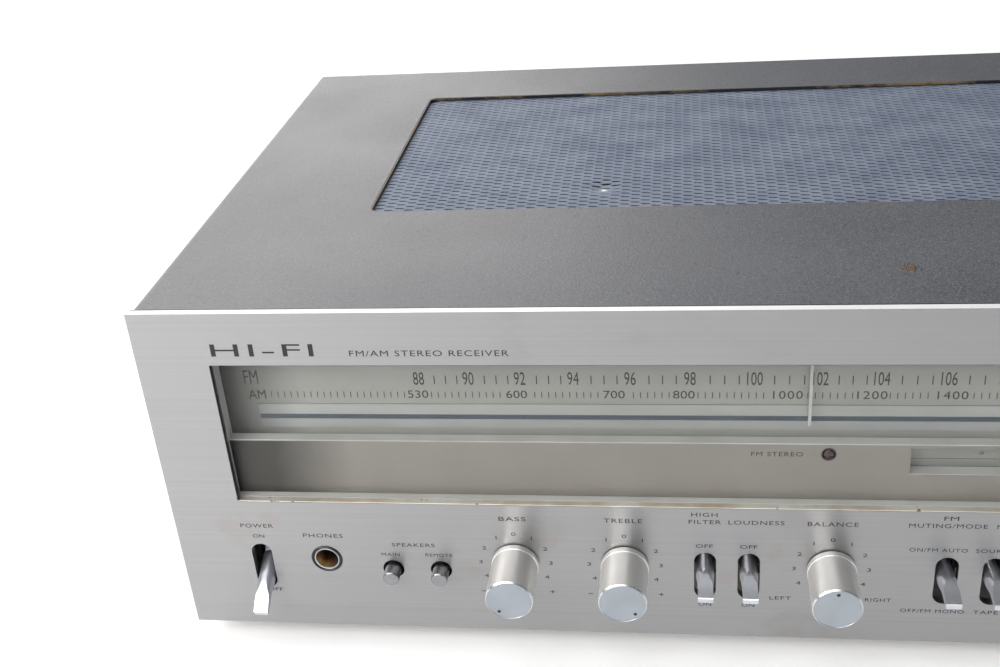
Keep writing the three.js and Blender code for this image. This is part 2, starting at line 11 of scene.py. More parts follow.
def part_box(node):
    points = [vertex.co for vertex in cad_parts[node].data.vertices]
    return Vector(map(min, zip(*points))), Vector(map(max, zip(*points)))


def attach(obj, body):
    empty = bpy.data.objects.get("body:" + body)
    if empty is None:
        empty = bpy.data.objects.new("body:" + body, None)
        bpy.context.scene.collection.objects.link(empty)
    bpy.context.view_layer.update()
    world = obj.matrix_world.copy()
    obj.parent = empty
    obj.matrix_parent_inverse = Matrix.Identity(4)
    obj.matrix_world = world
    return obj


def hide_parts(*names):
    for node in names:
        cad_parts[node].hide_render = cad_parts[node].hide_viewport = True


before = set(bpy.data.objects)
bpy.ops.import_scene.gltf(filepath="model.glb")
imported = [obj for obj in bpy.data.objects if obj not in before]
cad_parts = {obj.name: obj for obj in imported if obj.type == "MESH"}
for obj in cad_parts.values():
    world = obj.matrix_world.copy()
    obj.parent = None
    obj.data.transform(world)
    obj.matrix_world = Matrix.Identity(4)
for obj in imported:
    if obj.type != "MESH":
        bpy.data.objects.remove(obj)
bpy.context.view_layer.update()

MM = 0.001
PLATE_LOW, PLATE_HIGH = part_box("front_plate")
PLATE_WIDTH = (PLATE_HIGH.x - PLATE_LOW.x) / MM
PLATE_THICKNESS = (PLATE_HIGH.y - PLATE_LOW.y) / MM
PLATE_HEIGHT = 134
COVER_TOP = 0.5
VENT = (66.1, 383.9, 84.9, 222.6)  # left, right, front, back
DENT = (155.2, 110, 1.1, 5.0)  # across, back, depth, radius of the dent in the vent's mesh
RUST_SPOT = (260, 29.5)  # across, back on the cover
STAINS = ((23, 91, 8), (36, 84, 5), (140, 92, 5), (201, 107, 4), (219, 95, 4))  # across, drop, radius
STAIN_STRENGTH = 0.13


# ---- places, in millimetres from the front plate's left edge, front face and top edge ----
def at_x(mm):
    return PLATE_LOW.x + mm * MM


def at_y(mm):
    return PLATE_LOW.y + mm * MM


def at_z(mm):
    return PLATE_HIGH.z - mm * MM


def at(x, y, z):
    return Vector((at_x(x), at_y(y), at_z(z)))


def middle(name):
    low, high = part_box(name)
    return (low + high) / 2


def linked(name, data):
    """A new object holding data, linked to the scene."""
    made = bpy.data.objects.new(name, data)
    bpy.context.scene.collection.objects.link(made)
    return made


# ---- camera ----
def make_camera():
    data = bpy.data.cameras.new("camera")
    data.sensor_width = 36
    data.lens = 45.21
    data.clip_start = 0.01
    camera = linked("camera", data)
    camera.location = at(187.1, -354.0, -186.8)
    camera.rotation_euler = [math.radians(a) for a in (61.432, 4.277, 7.221)]
    bpy.context.scene.camera = camera


# ---- material building ----
class Shader:
    """A Principled material with short calls for the nodes that give it its detail."""

    def __init__(self, name, **sockets):
        self.material = bpy.data.materials.new(name)
        self.material.use_nodes = True
        self.tree = self.material.node_tree
        self.bsdf = self.tree.nodes["Principled BSDF"]
        for key, value in sockets.items():
            self.bsdf.inputs[key.replace("_", " ")].default_value = value
        self.place = self.tree.nodes.new("ShaderNodeTexCoord").outputs["Object"]

    def node(self, kind, inputs=None, **settings):
        made = self.tree.nodes.new("ShaderNode" + kind)
        for key, value in settings.items():
            setattr(made, key, value)
        for key, value in (inputs or {}).items():
            self.feed(made.inputs[key], value)
        return made

    def feed(self, socket, value):
        """Link a socket's value, or set a constant."""
        if isinstance(value, bpy.types.NodeSocket):
            self.tree.links.new(value, socket)
        else:
            socket.default_value = value

    def noise(self, scale, detail=3.0, roughness=0.5, stretch=(1, 1, 1)):
        mapping = self.node("Mapping", {"Vector": self.place, "Scale": stretch})
        made = self.node("TexNoise", {"Vector": mapping.outputs[0], "Scale": scale,
                                      "Detail": detail, "Roughness": roughness})
        return made.outputs["Fac"]

    def spread(self, value, low, high, out_low=0.0, out_high=1.0):
        made = self.node("MapRange", {"Value": value, "From Min": low, "From Max": high,
                                      "To Min": out_low, "To Max": out_high})
        return made.outputs[0]

    def blend(self, factor, first, second):
        made = self.node("Mix", data_type="RGBA")
        for socket, value in ((made.inputs[0], factor), (made.inputs[6], first), (made.inputs[7], second)):
            self.feed(socket, value)
        return made.outputs[2]

    def math(self, operation, first, second=0.0):
        made = self.node("Math", {0: first, 1: second}, operation=operation)
        return made.outputs[0]

    def near(self, point, radius, wobble_scale):
        """1 at a point fading to 0 at about radius millimetres, with a ragged outline."""
        away = self.node("VectorMath", {0: self.place, 1: tuple(point)}, operation="DISTANCE")
        half = 0.5 * radius * MM
        ragged = self.spread(self.noise(wobble_scale), 0.3, 0.7, half, -half)
        return self.spread(self.math("ADD", away.outputs["Value"], ragged), half, radius * MM, 1.0, 0.0)

    def color(self, factor, first, second):
        self.feed(self.bsdf.inputs["Base Color"], self.blend(factor, first, second))

    def roughness(self, value, *span):
        """Roughness follows the value, spread over span where that is given."""
        self.feed(self.bsdf.inputs["Roughness"], self.spread(value, *span) if span else value)

    def bump(self, height, distance, strength):
        made = self.node("Bump", {"Height": height, "Distance": distance, "Strength": strength})
        if self.bsdf.inputs["Normal"].is_linked:
            self.tree.links.new(self.bsdf.inputs["Normal"].links[0].from_socket, made.inputs["Normal"])
        self.tree.links.new(made.outputs[0], self.bsdf.inputs["Normal"])

    def tangent(self, axis):
        made = self.node("Tangent", direction_type="RADIAL", axis=axis)
        self.tree.links.new(made.outputs[0], self.bsdf.inputs["Tangent"])


def rgb(*display):
    """A linear colour from 0 to 255 display values."""
    shares = [level / 255 for level in display]
    return tuple(v / 12.92 if v <= 0.04045 else ((v + 0.055) / 1.055) ** 2.4 for v in shares) + (1.0,)


def shaded(color, share):
    return tuple(share * c for c in color[:3]) + (1.0,)


def brushed_plate():
    s = Shader("brushed_plate", Metallic=1.0, Roughness=0.36, Anisotropic=0.7, Anisotropic_Rotation=0.25)
    fine = s.noise(3.0, 4.0, 0.6, (4, 4, 900))
    streaks = s.noise(2.0, stretch=(1.5, 1.5, 900))
    stains = s.noise(26.0, 4.0, 0.62, (1, 1, 1.4))
    base = s.blend(s.spread(streaks, 0.3, 0.7), rgb(161, 160, 160), rgb(164, 164, 165))
    base = s.blend(s.spread(stains, 0.60, 0.76, 0.0, 0.3), base, rgb(144, 137, 128))
    for x, drop, radius in STAINS:
        blot = s.math("MULTIPLY", s.near(at(x, 0, drop), radius, 160.0), STAIN_STRENGTH)
        base = s.blend(blot, base, rgb(150, 126, 98))
    s.feed(s.bsdf.inputs["Base Color"], base)
    s.roughness(s.math("ADD", s.spread(fine, 0.3, 0.7, 0.35, 0.385),
                       s.spread(stains, 0.5, 0.75, 0.0, 0.05)))
    s.bump(fine, 0.000005, 0.2)
    s.tangent("Z")
    return s.material


def turned_metal(name, color, roughness, metallic=1.0):
    """Metal turned about Y: fine rings along it, and faint finger marks."""
    s = Shader(name, Metallic=metallic, Roughness=roughness, Anisotropic=0.6, Anisotropic_Rotation=0.25)
    rings = s.noise(1.0, 2.0, stretch=(6, 1400, 6))
    smudge = s.noise(90.0, 3.0)
    s.color(s.spread(smudge, 0.45, 0.8, 0.0, 0.5), color, shaded(color, 0.86))
    s.roughness(s.math("ADD", s.spread(rings, 0.3, 0.7, roughness - 0.02, roughness + 0.02),
                       s.spread(smudge, 0.4, 0.8, 0.0, 0.06)))
    s.bump(rings, 0.000002, 0.2)
    s.tangent("Y")
    return s.material


def chrome():
    s = Shader("chrome", Metallic=0.84, Roughness=0.3, Specular_IOR_Level=0.8)
    haze = s.noise(70.0, 3.0, 0.5)
    s.color(s.spread(haze, 0.45, 0.75, 0.0, 0.5), rgb(204, 207, 213), rgb(190, 191, 194))
    s.roughness(haze, 0.35, 0.75, 0.28, 0.34)
    return s.material


def cover_paint():
    s = Shader("cover_paint", Roughness=0.45, IOR=1.5, Specular_IOR_Level=0.6)
    grain = s.noise(1500.0, 2.0, 0.6)
    coarse = s.noise(700.0, 2.0, 0.6)
    cloud = s.noise(14.0, 4.0, 0.6)
    base = s.blend(s.spread(cloud, 0.35, 0.7), rgb(72, 74, 79), rgb(82, 83, 87))
    base = s.blend(s.spread(grain, 0.5, 0.72, 0.0, 0.65), base, rgb(124, 124, 126))
    base = s.blend(s.spread(coarse, 0.3, 0.42, 0.5, 0.0), base, rgb(44, 45, 50))
    speck = s.near(at(*RUST_SPOT, COVER_TOP), 3.2, 900.0)
    s.color(speck, base, rgb(98, 66, 36))
    s.roughness(s.math("ADD", s.spread(cloud, 0.3, 0.7, 0.40, 0.48), s.spread(grain, 0.3, 0.7, 0.0, 0.08)))
    s.bump(grain, 0.00022, 0.6)
    s.bump(speck, 0.0012, 0.8)
    return s.material


def grille_paint():
    s = Shader("grille_paint", Metallic=0.25, Roughness=0.42, Specular_IOR_Level=0.7)
    dust = s.noise(55.0, 5.0, 0.65)
    base = s.blend(s.spread(dust, 0.35, 0.75), rgb(108, 116, 133), rgb(133, 141, 156))
    nick = s.near(at(DENT[0] + 0.3, DENT[1] - 2.0, 2.5), 1.6, 1500.0)
    s.color(nick, base, rgb(240, 236, 230))
    s.roughness(dust, 0.3, 0.7, 0.36, 0.52)
    return s.material


def dial_paint(name, color, dark_to=54, dark_from=27, darkest=0.85):
    """Satin silver paint, in the shade of the window's side for its first few centimetres."""
    s = Shader(name, Metallic=0.3, Roughness=0.42)
    fine = s.noise(3.0, stretch=(6, 6, 500))
    dust = s.noise(40.0, 4.0, 0.6)
    across = s.node("SeparateXYZ", {0: s.place}).outputs["X"]
    ragged = s.math("ADD", across, s.spread(dust, 0.3, 0.7, -0.003, 0.003))
    shade = s.spread(ragged, at_x(dark_from), at_x(dark_to), darkest, 0.0)
    dull = shaded(color, 0.82)
    base = s.blend(s.spread(dust, 0.4, 0.75, 0.0, 0.5), color, dull)
    base = s.blend(s.spread(fine, 0.3, 0.7, 0.0, 0.25), base, dull)
    s.color(shade, base, shaded(color, 0.12))
    s.roughness(fine, 0.3, 0.7, 0.4, 0.46)
    return s.material


def window_glass():
    """Clear sheet: both faces mirror more at a grazing angle, and let the rest through."""
    s = Shader("window_glass", Metallic=1.0, Base_Color=rgb(120, 121, 117))
    facing = s.node("LayerWeight", {"Blend": 0.5}).outputs["Facing"]
    mirror = s.spread(s.math("POWER", facing, 5.0), 0.0, 1.0, 0.04, 1.0)
    haze = s.noise(30.0, 4.0, 0.6)
    film = s.math("ADD", mirror, s.spread(haze, 0.4, 0.8, 0.0, 0.03))
    s.feed(s.bsdf.inputs["Alpha"], film)
    s.roughness(haze, 0.4, 0.8, 0.02, 0.12)
    return s.material


def plain_metal(name, color, roughness, mottle, size=90.0, metallic=1.0):
    s = Shader(name, Metallic=metallic, Roughness=roughness)
    spots = s.noise(size, 5.0, 0.65)
    s.color(s.spread(spots, 0.35, 0.7), color, shaded(color, mottle))
    s.roughness(spots, 0.3, 0.7, roughness - 0.08, roughness + 0.1)
    s.bump(spots, 0.00004, 0.3)
    return s.material


def plastic(name, color, roughness, grain=900.0, depth=0.00006):
    s = Shader(name, Roughness=roughness)
    texture = s.noise(grain, 2.0)
    dust = s.noise(60.0, 4.0, 0.6)
    paler = tuple(min(1.0, 1.5 * c + 0.006) for c in color[:3]) + (1.0,)
    s.color(s.spread(dust, 0.45, 0.8, 0.0, 0.6), color, paler)
    s.roughness(dust, 0.3, 0.7, roughness - 0.05, roughness + 0.12)
    s.bump(texture, depth, 0.5)
    return s.material


def lamp_red():
    s = Shader("lamp_red", Roughness=0.16, Coat_Weight=0.6, Coat_Roughness=0.05)
    # painted shade: the lens colour darkens towards its outline as seen
    rim = s.node("LayerWeight", {"Blend": 0.4}).outputs["Facing"]
    s.color(rim, rgb(58, 27, 26), rgb(34, 16, 16))
    return s.material


def light_guide():
    """Clear-white acrylic edge with a faint painted glow: emission that stands in for the light falling on
    it.
    """
    s = Shader("light_guide", Roughness=0.35, Emission_Strength=0.05, Emission_Color=(1, 1, 0.97, 1))
    dust = s.noise(60.0, 4.0, 0.6)
    s.color(s.spread(dust, 0.4, 0.7, 0.0, 0.5), rgb(176, 177, 173), rgb(154, 152, 145))
    s.roughness(dust, 0.3, 0.7, 0.3, 0.45)
    return s.material


def worn_lip():
    """Bright cut edge of the window with faint brown dirt and a few rust spots."""
    s = Shader("worn_lip", Metallic=0.6, Roughness=0.4)
    haze = s.noise(40.0, 4.0, 0.6)
    spots = s.noise(260.0, 3.0, 0.6)
    base = s.blend(s.spread(haze, 0.42, 0.62, 0.0, 0.55), rgb(222, 219, 210), rgb(168, 146, 112))
    s.color(s.spread(spots, 0.66, 0.72, 0.0, 0.85), base, rgb(112, 78, 44))
    s.roughness(spots, 0.5, 0.7, 0.3, 0.7)
    return s.material


def worn_rim():
    """Cut edge of the cover sheet, rubbed to yellowish brown in places."""
    s = Shader("worn_rim", Metallic=0.3, Roughness=0.5)
    patches = s.noise(28.0, 4.0, 0.7)
    s.color(s.spread(patches, 0.46, 0.58), rgb(48, 49, 52), rgb(132, 112, 78))
    s.roughness(patches, 0.4, 0.6, 0.35, 0.6)
    return s.material


MAT = {
    "plate": brushed_plate(),
    "knob": turned_metal("knob_metal", rgb(240, 238, 234), 0.32, 0.78),
    "knob_face": turned_metal("knob_face", rgb(168, 174, 180), 0.36),
    "button": turned_metal("button_metal", rgb(150, 150, 152), 0.26),
    "chrome": chrome(),
    "cover": cover_paint(),
    "grille": grille_paint(),
    "dial": dial_paint("dial_paint", rgb(154, 155, 149)),
    "band": dial_paint("band_paint", rgb(165, 167, 163), 50),
    "lower": dial_paint("lower_paint", rgb(145, 141, 134), 70, 41, 0.95),
    # the ledge look carries a faint painted glow
    "ledge": light_guide(),
    "glass": window_glass(),
    "steel": plain_metal("zinc_steel", rgb(176, 173, 164), 0.42, 0.82),
    "rear": plain_metal("rear_steel", rgb(160, 158, 150), 0.46, 0.86, 30.0),
    "brass": plain_metal("tinned_brass", rgb(206, 196, 170), 0.3, 0.8),
    "black": plastic("black_plastic", rgb(24, 24, 26), 0.45),
    "ink": plastic("black_ink", rgb(32, 32, 34), 0.5, 2000.0, 0.00001),
    "soft_ink": plastic("dial_ink", rgb(41, 43, 41), 0.5, 2000.0, 0.00001),
    "white": plastic("white_paint", rgb(176, 178, 175), 0.4),
    "red": plastic("red_plastic", rgb(150, 24, 22), 0.4),
    "rubber": plastic("rubber", rgb(30, 30, 31), 0.75, 500.0, 0.0001),
    "board": plastic("board", rgb(124, 96, 52), 0.6, 300.0),
    "winding": plain_metal("winding", rgb(104, 66, 38), 0.4, 0.7, 300.0, 0.4),
    "lamp": lamp_red(),
    # painted shade standing in for the pointer's slot in the dial
    "groove": plastic("painted_slot_shade", rgb(66, 75, 84), 0.4),
    "band_dull": dial_paint("band_dull_paint", rgb(157, 159, 157), 50),
    "bright_edge": plain_metal("bright_edge", rgb(214, 217, 220), 0.26, 0.9),
    # a bright cut edge, made near white as partly a painted highlight
    "cut_edge_highlight": plain_metal("cut_edge_highlight", rgb(244, 244, 244), 0.55, 0.94, 60.0, 0.5),
    "dull_brass": plain_metal("dull_brass", rgb(182, 160, 122), 0.32, 0.8),
    "wall": plain_metal("window_wall", rgb(226, 227, 224), 0.5, 0.9, 60.0, 0.2),
    "dark_steel": plain_metal("dark_steel", rgb(70, 70, 72), 0.4, 0.8),
    "rim": worn_rim(),
    "lip": worn_lip(),
}


# ---- mesh building ----
def facing_out(mesh, weld=None):
    """The mesh with its faces turned outward, and vertices closer than weld joined."""
    shape = bmesh.new()
    shape.from_mesh(mesh)
    if weld:
        bmesh.ops.remove_doubles(shape, verts=shape.verts, dist=weld)
    bmesh.ops.recalc_face_normals(shape, faces=shape.faces)
    shape.to_mesh(mesh)
    shape.free()
    return mesh


def piece(name, shape, mat, *where, **options):
    """A piece of the look from (vertices in metres, faces)."""
    verts, faces = shape
    mesh = bpy.data.meshes.new(name)
    mesh.from_pydata([tuple(v) for v in verts], [], faces)
    return finish_piece(name, facing_out(mesh), mat, *where, **options)


def finish_piece(name, mesh, mat, slot="black_plastic", body="chassis", sharp=35, replaces=()):
    mesh.polygons.foreach_set("use_smooth", [True] * len(mesh.polygons))
    mesh.set_sharp_from_angle(angle=math.radians(sharp))
    mesh.materials.clear()
    mesh.materials.append(MAT[mat])
    made = linked(name, mesh)
    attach(made, body)
    if replaces:
        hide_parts(*replaces)
    return made


def evaluated_mesh(made):
    """The object's final mesh, after which the object itself is deleted."""
    bpy.context.view_layer.update()
    graph = bpy.context.evaluated_depsgraph_get()
    mesh = bpy.data.meshes.new_from_object(made.evaluated_get(graph))
    mesh.transform(made.matrix_world)
    bpy.data.objects.remove(made)
    return mesh


def lathe_mesh(profile, centre, segments=64, axis="Y"):
    """Vertices and faces of a piece turned from (radius, distance along the axis) points."""
    verts, faces, rings = [], [], []
    for radius, along in profile:
        ring = []
        for i in range(1 if radius == 0 else segments):
            angle = 2 * math.pi * i / segments
            side, up = radius * math.cos(angle) * MM, radius * math.sin(angle) * MM
            step = along * MM
            offset = {"X": (step, side, up), "Y": (side, step, up), "Z": (side, up, step)}[axis]
            ring.append(len(verts))
            verts.append(centre + Vector(offset))
        rings.append(ring)
    pairs = list(zip(rings, rings[1:]))
    if profile[0][0] > 0:
        pairs.append((rings[-1], rings[0]))
    for low, high in pairs:
        for i in range(segments):
            a, b = low[i % len(low)], low[(i + 1) % len(low)]
            c, d = high[(i + 1) % len(high)], high[i % len(high)]
            face = list(dict.fromkeys((a, b, c, d)))
            if len(face) > 2:
                faces.append(face)
    return verts, faces


def lathe(name, profile, centre, mat, *where, segments=64, axis="Y", **options):
    return piece(name, lathe_mesh(profile, centre, segments, axis), mat, *where, **options)


def rounded(profile, amount, steps=3):
    """Profile points with each marked corner (radius, along, True) turned into a small arc."""
    out = []
    for i, point in enumerate(profile):
        if len(point) == 2:
            out.append(point)
            continue
        here = Vector(point[:2])
        before = (Vector(profile[i - 1][:2]) - here).normalized()
        after = (Vector(profile[i + 1][:2]) - here).normalized()
        start, end = here + before * amount, here + after * amount
        for k in range(steps + 1):
            t = k / steps
            bend = start * (1 - t) ** 2 + here * 2 * t * (1 - t) + end * t ** 2
            out.append((bend.x, bend.y))
    return out


def box_mesh(low, high):
    corners = [Vector((x, y, z)) for x in (low.x, high.x) for y in (low.y, high.y) for z in (low.z, high.z)]
    faces = [(0, 1, 3, 2), (4, 6, 7, 5), (0, 4, 5, 1), (2, 3, 7, 6), (0, 2, 6, 4), (1, 5, 7, 3)]
    return corners, faces


def bevelled(made, width, segments=2):
    modifier = made.modifiers.new("edges", "BEVEL")
    modifier.width = width * MM
    modifier.segments = segments
    modifier.limit_method = "ANGLE"
    modifier.angle_limit = math.radians(40)
    made.modifiers.new("even_normals", "WEIGHTED_NORMAL").keep_sharp = True
    return made


def block(name, x, y, z, mat, slot="dial_silver", edge=0.08, replaces=()):
    """A box with rounded edges between the given millimetre pairs."""
    shape = box_mesh(at(min(x), min(y), max(z)), at(max(x), max(y), min(z)))
    return bevelled(piece(name, shape, mat, slot, replaces=replaces), edge)


def merged(parts):
    verts, faces = [], []
    for more_verts, more_faces in parts:
        start = len(verts)
        verts += list(more_verts)
        faces += [tuple(i + start for i in face) for face in more_faces]
    return verts, faces


def band_faces(rows, count, wrap=False):
    """Quads between rows of count vertices in closed rings; wrap also joins the last row to the first."""
    faces = []
    for row in range(rows if wrap else rows - 1):
        here, there = row * count, (row + 1) % rows * count
        for i in range(count):
            j = (i + 1) % count
            faces.append((here + i, here + j, there + j, there + i))
    return faces


# ---- flat outlines, in millimetres from the plate's left edge and below its top edge ----
def around(count):
    return np.linspace(0, 2 * math.pi, count, endpoint=False)


def circle(x, z, radius, count=48):
    return [(x + radius * math.cos(a), z + radius * math.sin(a)) for a in around(count)]


def stadium(x, z, width, length):
    radius = width / 2
    reach = length / 2 - radius
    return [(x + end * radius * math.cos(a), z - end * (reach + radius * math.sin(a)))
            for end in (1, -1) for a in np.linspace(0, math.pi, 20)]


def rectangle(x0, x1, z0, z1, radius=0.0, count=6):
    if radius == 0:
        return [(x0, z0), (x1, z0), (x1, z1), (x0, z1)]
    out = []
    for cx, cz, start in ((x1 - radius, z1 - radius, 0), (x0 + radius, z1 - radius, 90),
                          (x0 + radius, z0 + radius, 180), (x1 - radius, z0 + radius, 270)):
        for a in np.radians(np.linspace(start, start + 90, count)):
            out.append((cx + radius * math.cos(a), cz + radius * math.sin(a)))
    return out


def plate_mesh(outlines, y0, y1):
    """A plate across Y with holes: its first outline is the rim, the rest are holes."""
    curve = bpy.data.curves.new("outline", "CURVE")
    curve.dimensions = "2D"
    curve.fill_mode = "BOTH"
    for outline in outlines:
        spline = curve.splines.new("POLY")
        spline.points.add(len(outline) - 1)
        for point, (x, z) in zip(spline.points, outline):
            point.co = (at_x(x), at_z(z), 0, 1)
        spline.use_cyclic_u = True
    curve.extrude = (y1 - y0) * MM / 2
    made = linked("outline", curve)
    standing = Matrix.Rotation(math.pi / 2, 4, "X")
    made.matrix_world = Matrix.Translation((0, at_y((y0 + y1) / 2), 0)) @ standing
    return facing_out(evaluated_mesh(made), weld=1e-7)


# ---- printed lettering ----
def text_mesh(text, spacing=1.0):
    curve = bpy.data.curves.new("text", "FONT")
    curve.body = text
    curve.align_x = "CENTER"
    curve.resolution_u = 3
    curve.extrude = 0.01
    curve.space_character = spacing
    return evaluated_mesh(linked("text", curve))


CAP_HEIGHT = max(v.co.y for v in text_mesh("H").vertices)
INK_DEPTH, INK_SUNK = 0.03, 0.01
WIDE_LETTERS, REAR_LETTERS = 1.7, 1.15  # width share where no whole width is given
LONG_WORD_SPACING = 1.12


def letters(text, height, spacing=1.0):
    """One word's vertices, as (across in font units, up in mm, out in mm), and its faces."""
    mesh = text_mesh(text, spacing)
    size = height / CAP_HEIGHT
    verts = [(v.co.x, v.co.y * size, INK_DEPTH if v.co.z > 0 else -INK_SUNK) for v in mesh.vertices]
    faces = [tuple(p.vertices) for p in mesh.polygons]
    bpy.data.meshes.remove(mesh)
    return verts, faces


def printing(name, lines, y, mat):
    """Printed words, one mesh. Each line is (text, x, z of its middle, letter height[, whole width])."""
    parts = []
    for text, x, z, height, *width in lines:
        verts, faces = letters(text, height, LONG_WORD_SPACING if len(text) > 3 else 1.0)
        across = [v[0] for v in verts]
        free = height / CAP_HEIGHT * WIDE_LETTERS
        stretch = width[0] / (max(across) - min(across)) if width else free
        foot = z + height / 2
        parts.append(([at(x + side * stretch, y - out, foot - up) for side, up, out in verts], faces))
    piece(name, merged(parts), mat)


def tick_mesh(x, z, width, height, y, depth=0.03):
    low = at(x - width / 2, y - depth, z + height / 2)
    return box_mesh(low, at(x + width / 2, y + INK_SUNK, z - height / 2))


# ---- front plate, its window lip and printed words ----
CONTROL_DROP = 102.35
SLOT_DROP = 106.35
BUTTON_DROP = 106.5
SLOT_WIDTH = 7.7
SLOT_LENGTH = 20.3
WINDOW = (26.1, 345, 19.9, 77.1)  # left, right, top, bottom
LEVER_X = {"power": 31.3, "high_filter": 193.7, "loudness": 208.9, "fm_mode": 275.7, "tape_monitor": 291.35}
KNOBS = {  # across, drop, radius, reach in front of the plate, degrees of the dot from the top
    "bass": (126.2, CONTROL_DROP, 8.5, 21, -142), "treble": (165.5, CONTROL_DROP, 8.5, 21, 136),
    "balance": (237.1, CONTROL_DROP, 8.5, 21, 0), "volume": (342, CONTROL_DROP, 15.5, 21, -110),
    "selector": (400, CONTROL_DROP, 11, 21, -30), "tuning": (398, 48, 22, 24, 0),
}
BUTTON_X = {"speaker_main": 80.7, "speaker_remote": 98.5}
JACK_X, JACK_DROP = 55.9, 102.5
KNOB_SCALE, VOLUME_SCALE = 12.75, 19.2  # radius of the numbers around a knob


def front_plate():
    holes = [rectangle(*WINDOW, radius=0.4)]
    holes += [stadium(x, SLOT_DROP, SLOT_WIDTH, SLOT_LENGTH) for x in LEVER_X.values()]
    holes += [circle(x, drop, 4.9) for x, drop, *_ in KNOBS.values()]
    holes += [circle(x, BUTTON_DROP, 3.95) for x in BUTTON_X.values()]
    holes.append(circle(JACK_X, JACK_DROP, 5.9))
    mesh = plate_mesh([rectangle(0, PLATE_WIDTH, 0, PLATE_HEIGHT)] + holes, 0, PLATE_THICKNESS)
    finish_piece("front_panel", mesh, "plate", "brushed_aluminium", replaces=["front_plate"])
    # the plate's top edge is a bright cut edge, made near white as partly a painted highlight of the light
    # above
    block("plate_top_edge", (0.03, PLATE_WIDTH - 0.03), (0.03, PLATE_THICKNESS - 0.03), (-0.05, 0.1),
          "cut_edge_highlight", "brushed_aluminium", 0.02)


def window_surround():
    left, right, top, bottom = WINDOW
    lip = PLATE_THICKNESS - 0.1
    wall_low = bottom - 0.45
    block("window_lip", (left + 0.02, right - 0.02), (0.12, lip), (bottom - 0.4, bottom - 0.02), "lip",
          "brushed_aluminium", 0.1)
    for name, x, depth, z in (("left", (left + 0.02, left + 0.3), 1.0, (top, wall_low)),
                              ("right", (right - 0.3, right - 0.02), lip, (top, wall_low)),
                              ("top", (left + 0.4, right - 0.4), lip, (top + 0.02, top + 0.3))):
        block(f"window_{name}", x, (0.3, depth), z, "black", "black_plastic")
    block("window_sill", (left - 1, right + 1), (2.95, 5.96), (bottom - 0.38, bottom + 2.4), "ledge",
          edge=0.1)
    block("window_pane", (left - 1.5, right + 1.5), (3.12, 5.08), (top - 1.5, bottom + 1.2), "glass",
          "dial_glass", 0.05, ["dial_window"])
    for side, x in (("left", left - 1.8), ("right", right + 0.9)):
        across = (x, x + 0.9)
        block(f"dial_side_{side}", across, (5.3, 9.9), (top - 1, LEDGE_DROP - 0.2), "wall", edge=0.1)
        block(f"lower_side_{side}", across, (5.3, 5.9), (LEDGE_DROP, bottom - 0.3), "wall", edge=0.1)


def scale_line(digit, x, radius, degrees):
    """A number on a ring around the control at x, at so many degrees from the top."""
    a = math.radians(degrees)
    return (str(digit), x + radius * math.sin(a), CONTROL_DROP - radius * math.cos(a), 1.5)


def knob_scale(x):
    """0 at the top and 1 to 4 down both sides."""
    lines = [scale_line(0, x, KNOB_SCALE, 0)]
    for digit in range(1, 5):
        lines += [scale_line(digit, x, KNOB_SCALE, side * 30 * digit) for side in (-1, 1)]
    return lines


def plate_words():
    labels = [  # text, across, drop of its middle, letter height, width
        ("FM/AM STEREO RECEIVER", 102.8, 15.3, 2.15, 53.8), ("POWER", 31.2, 87.9, 1.7, 12.5),
        ("ON", 31.3, 92.6, 1.5, 4.4), ("OFF", 33.6, 117.6, 1.5, 6), ("PHONES", 55.7, 91.9, 1.7, 15),
        ("SPEAKERS", 89.1, 95.4, 1.55, 15.9), ("MAIN", 80.2, 99.9, 1.35, 6.8),
        ("REMOTE", 98.1, 99.8, 1.35, 9.9), ("BASS", 126.1, 82.9, 1.75, 9.7),
        ("TREBLE", 165.3, 82.9, 1.75, 13.5), ("HIGH", 193.4, 79.7, 1.65, 9),
        ("FILTER", 193.4, 82.8, 1.65, 11.1), ("LOUDNESS", 211, 82.8, 1.65, 19),
        ("BALANCE", 236.7, 82.9, 1.75, 17), ("OFF", 193.4, 93.3, 1.5, 6), ("OFF", 208.7, 93.3, 1.5, 6),
        ("ON", 193.7, 119.5, 1.5, 4.6), ("ON", 208.9, 119.5, 1.5, 4.6), ("LEFT", 220, 115.8, 1.5, 7.5),
        ("RIGHT", 253.6, 115.6, 1.5, 8.9), ("FM", 275.3, 79.7, 1.65, 4.8),
        ("MUTING/MODE", 274.4, 82.8, 1.65, 25.5), ("TAPE", 297.8, 79.7, 1.65, 8.5),
        ("MONITOR", 297.8, 82.8, 1.65, 15.4), ("ON/FM AUTO", 272.2, 93.1, 1.5, 19.2),
        ("SOURCE", 290.6, 93.1, 1.5, 12.4), ("OFF/FM MONO", 272.3, 120, 1.5, 21.6),
        ("TAPE", 290.3, 120, 1.5, 8.2), ("VOLUME", 342, 81.8, 1.75, 14.5),
        ("SELECTOR", 400, 82.6, 1.75, 18), ("TUNING", 398, 21.5, 1.75, 14.5),
        ("AM", 383.6, 95.4, 1.5, 4.6), ("FM", 389.2, 89.2, 1.5, 4.4),
        ("PHONO", 400, 87.1, 1.5, 9.4), ("TAPE", 412.6, 91, 1.5, 8), ("AUX", 418.5, 98, 1.5, 5.6),
    ]
    for name in ("bass", "treble", "balance"):
        labels += knob_scale(KNOBS[name][0])
    for x in (KNOBS["bass"][0], KNOBS["treble"][0]):
        labels += [("-", x - 12.7, 115.6, 2.0, 1.7), ("+", x + 12.7, 115.6, 2.0, 1.9)]
    labels += [scale_line(step, KNOBS["volume"][0], VOLUME_SCALE, -150 + 30 * step) for step in range(11)]
    printing("plate_labels", labels, 0, "ink")
    printing("plate_mark", [("HI-FI", 45.8, 14.0, 4.7, 36)], 0, "black")


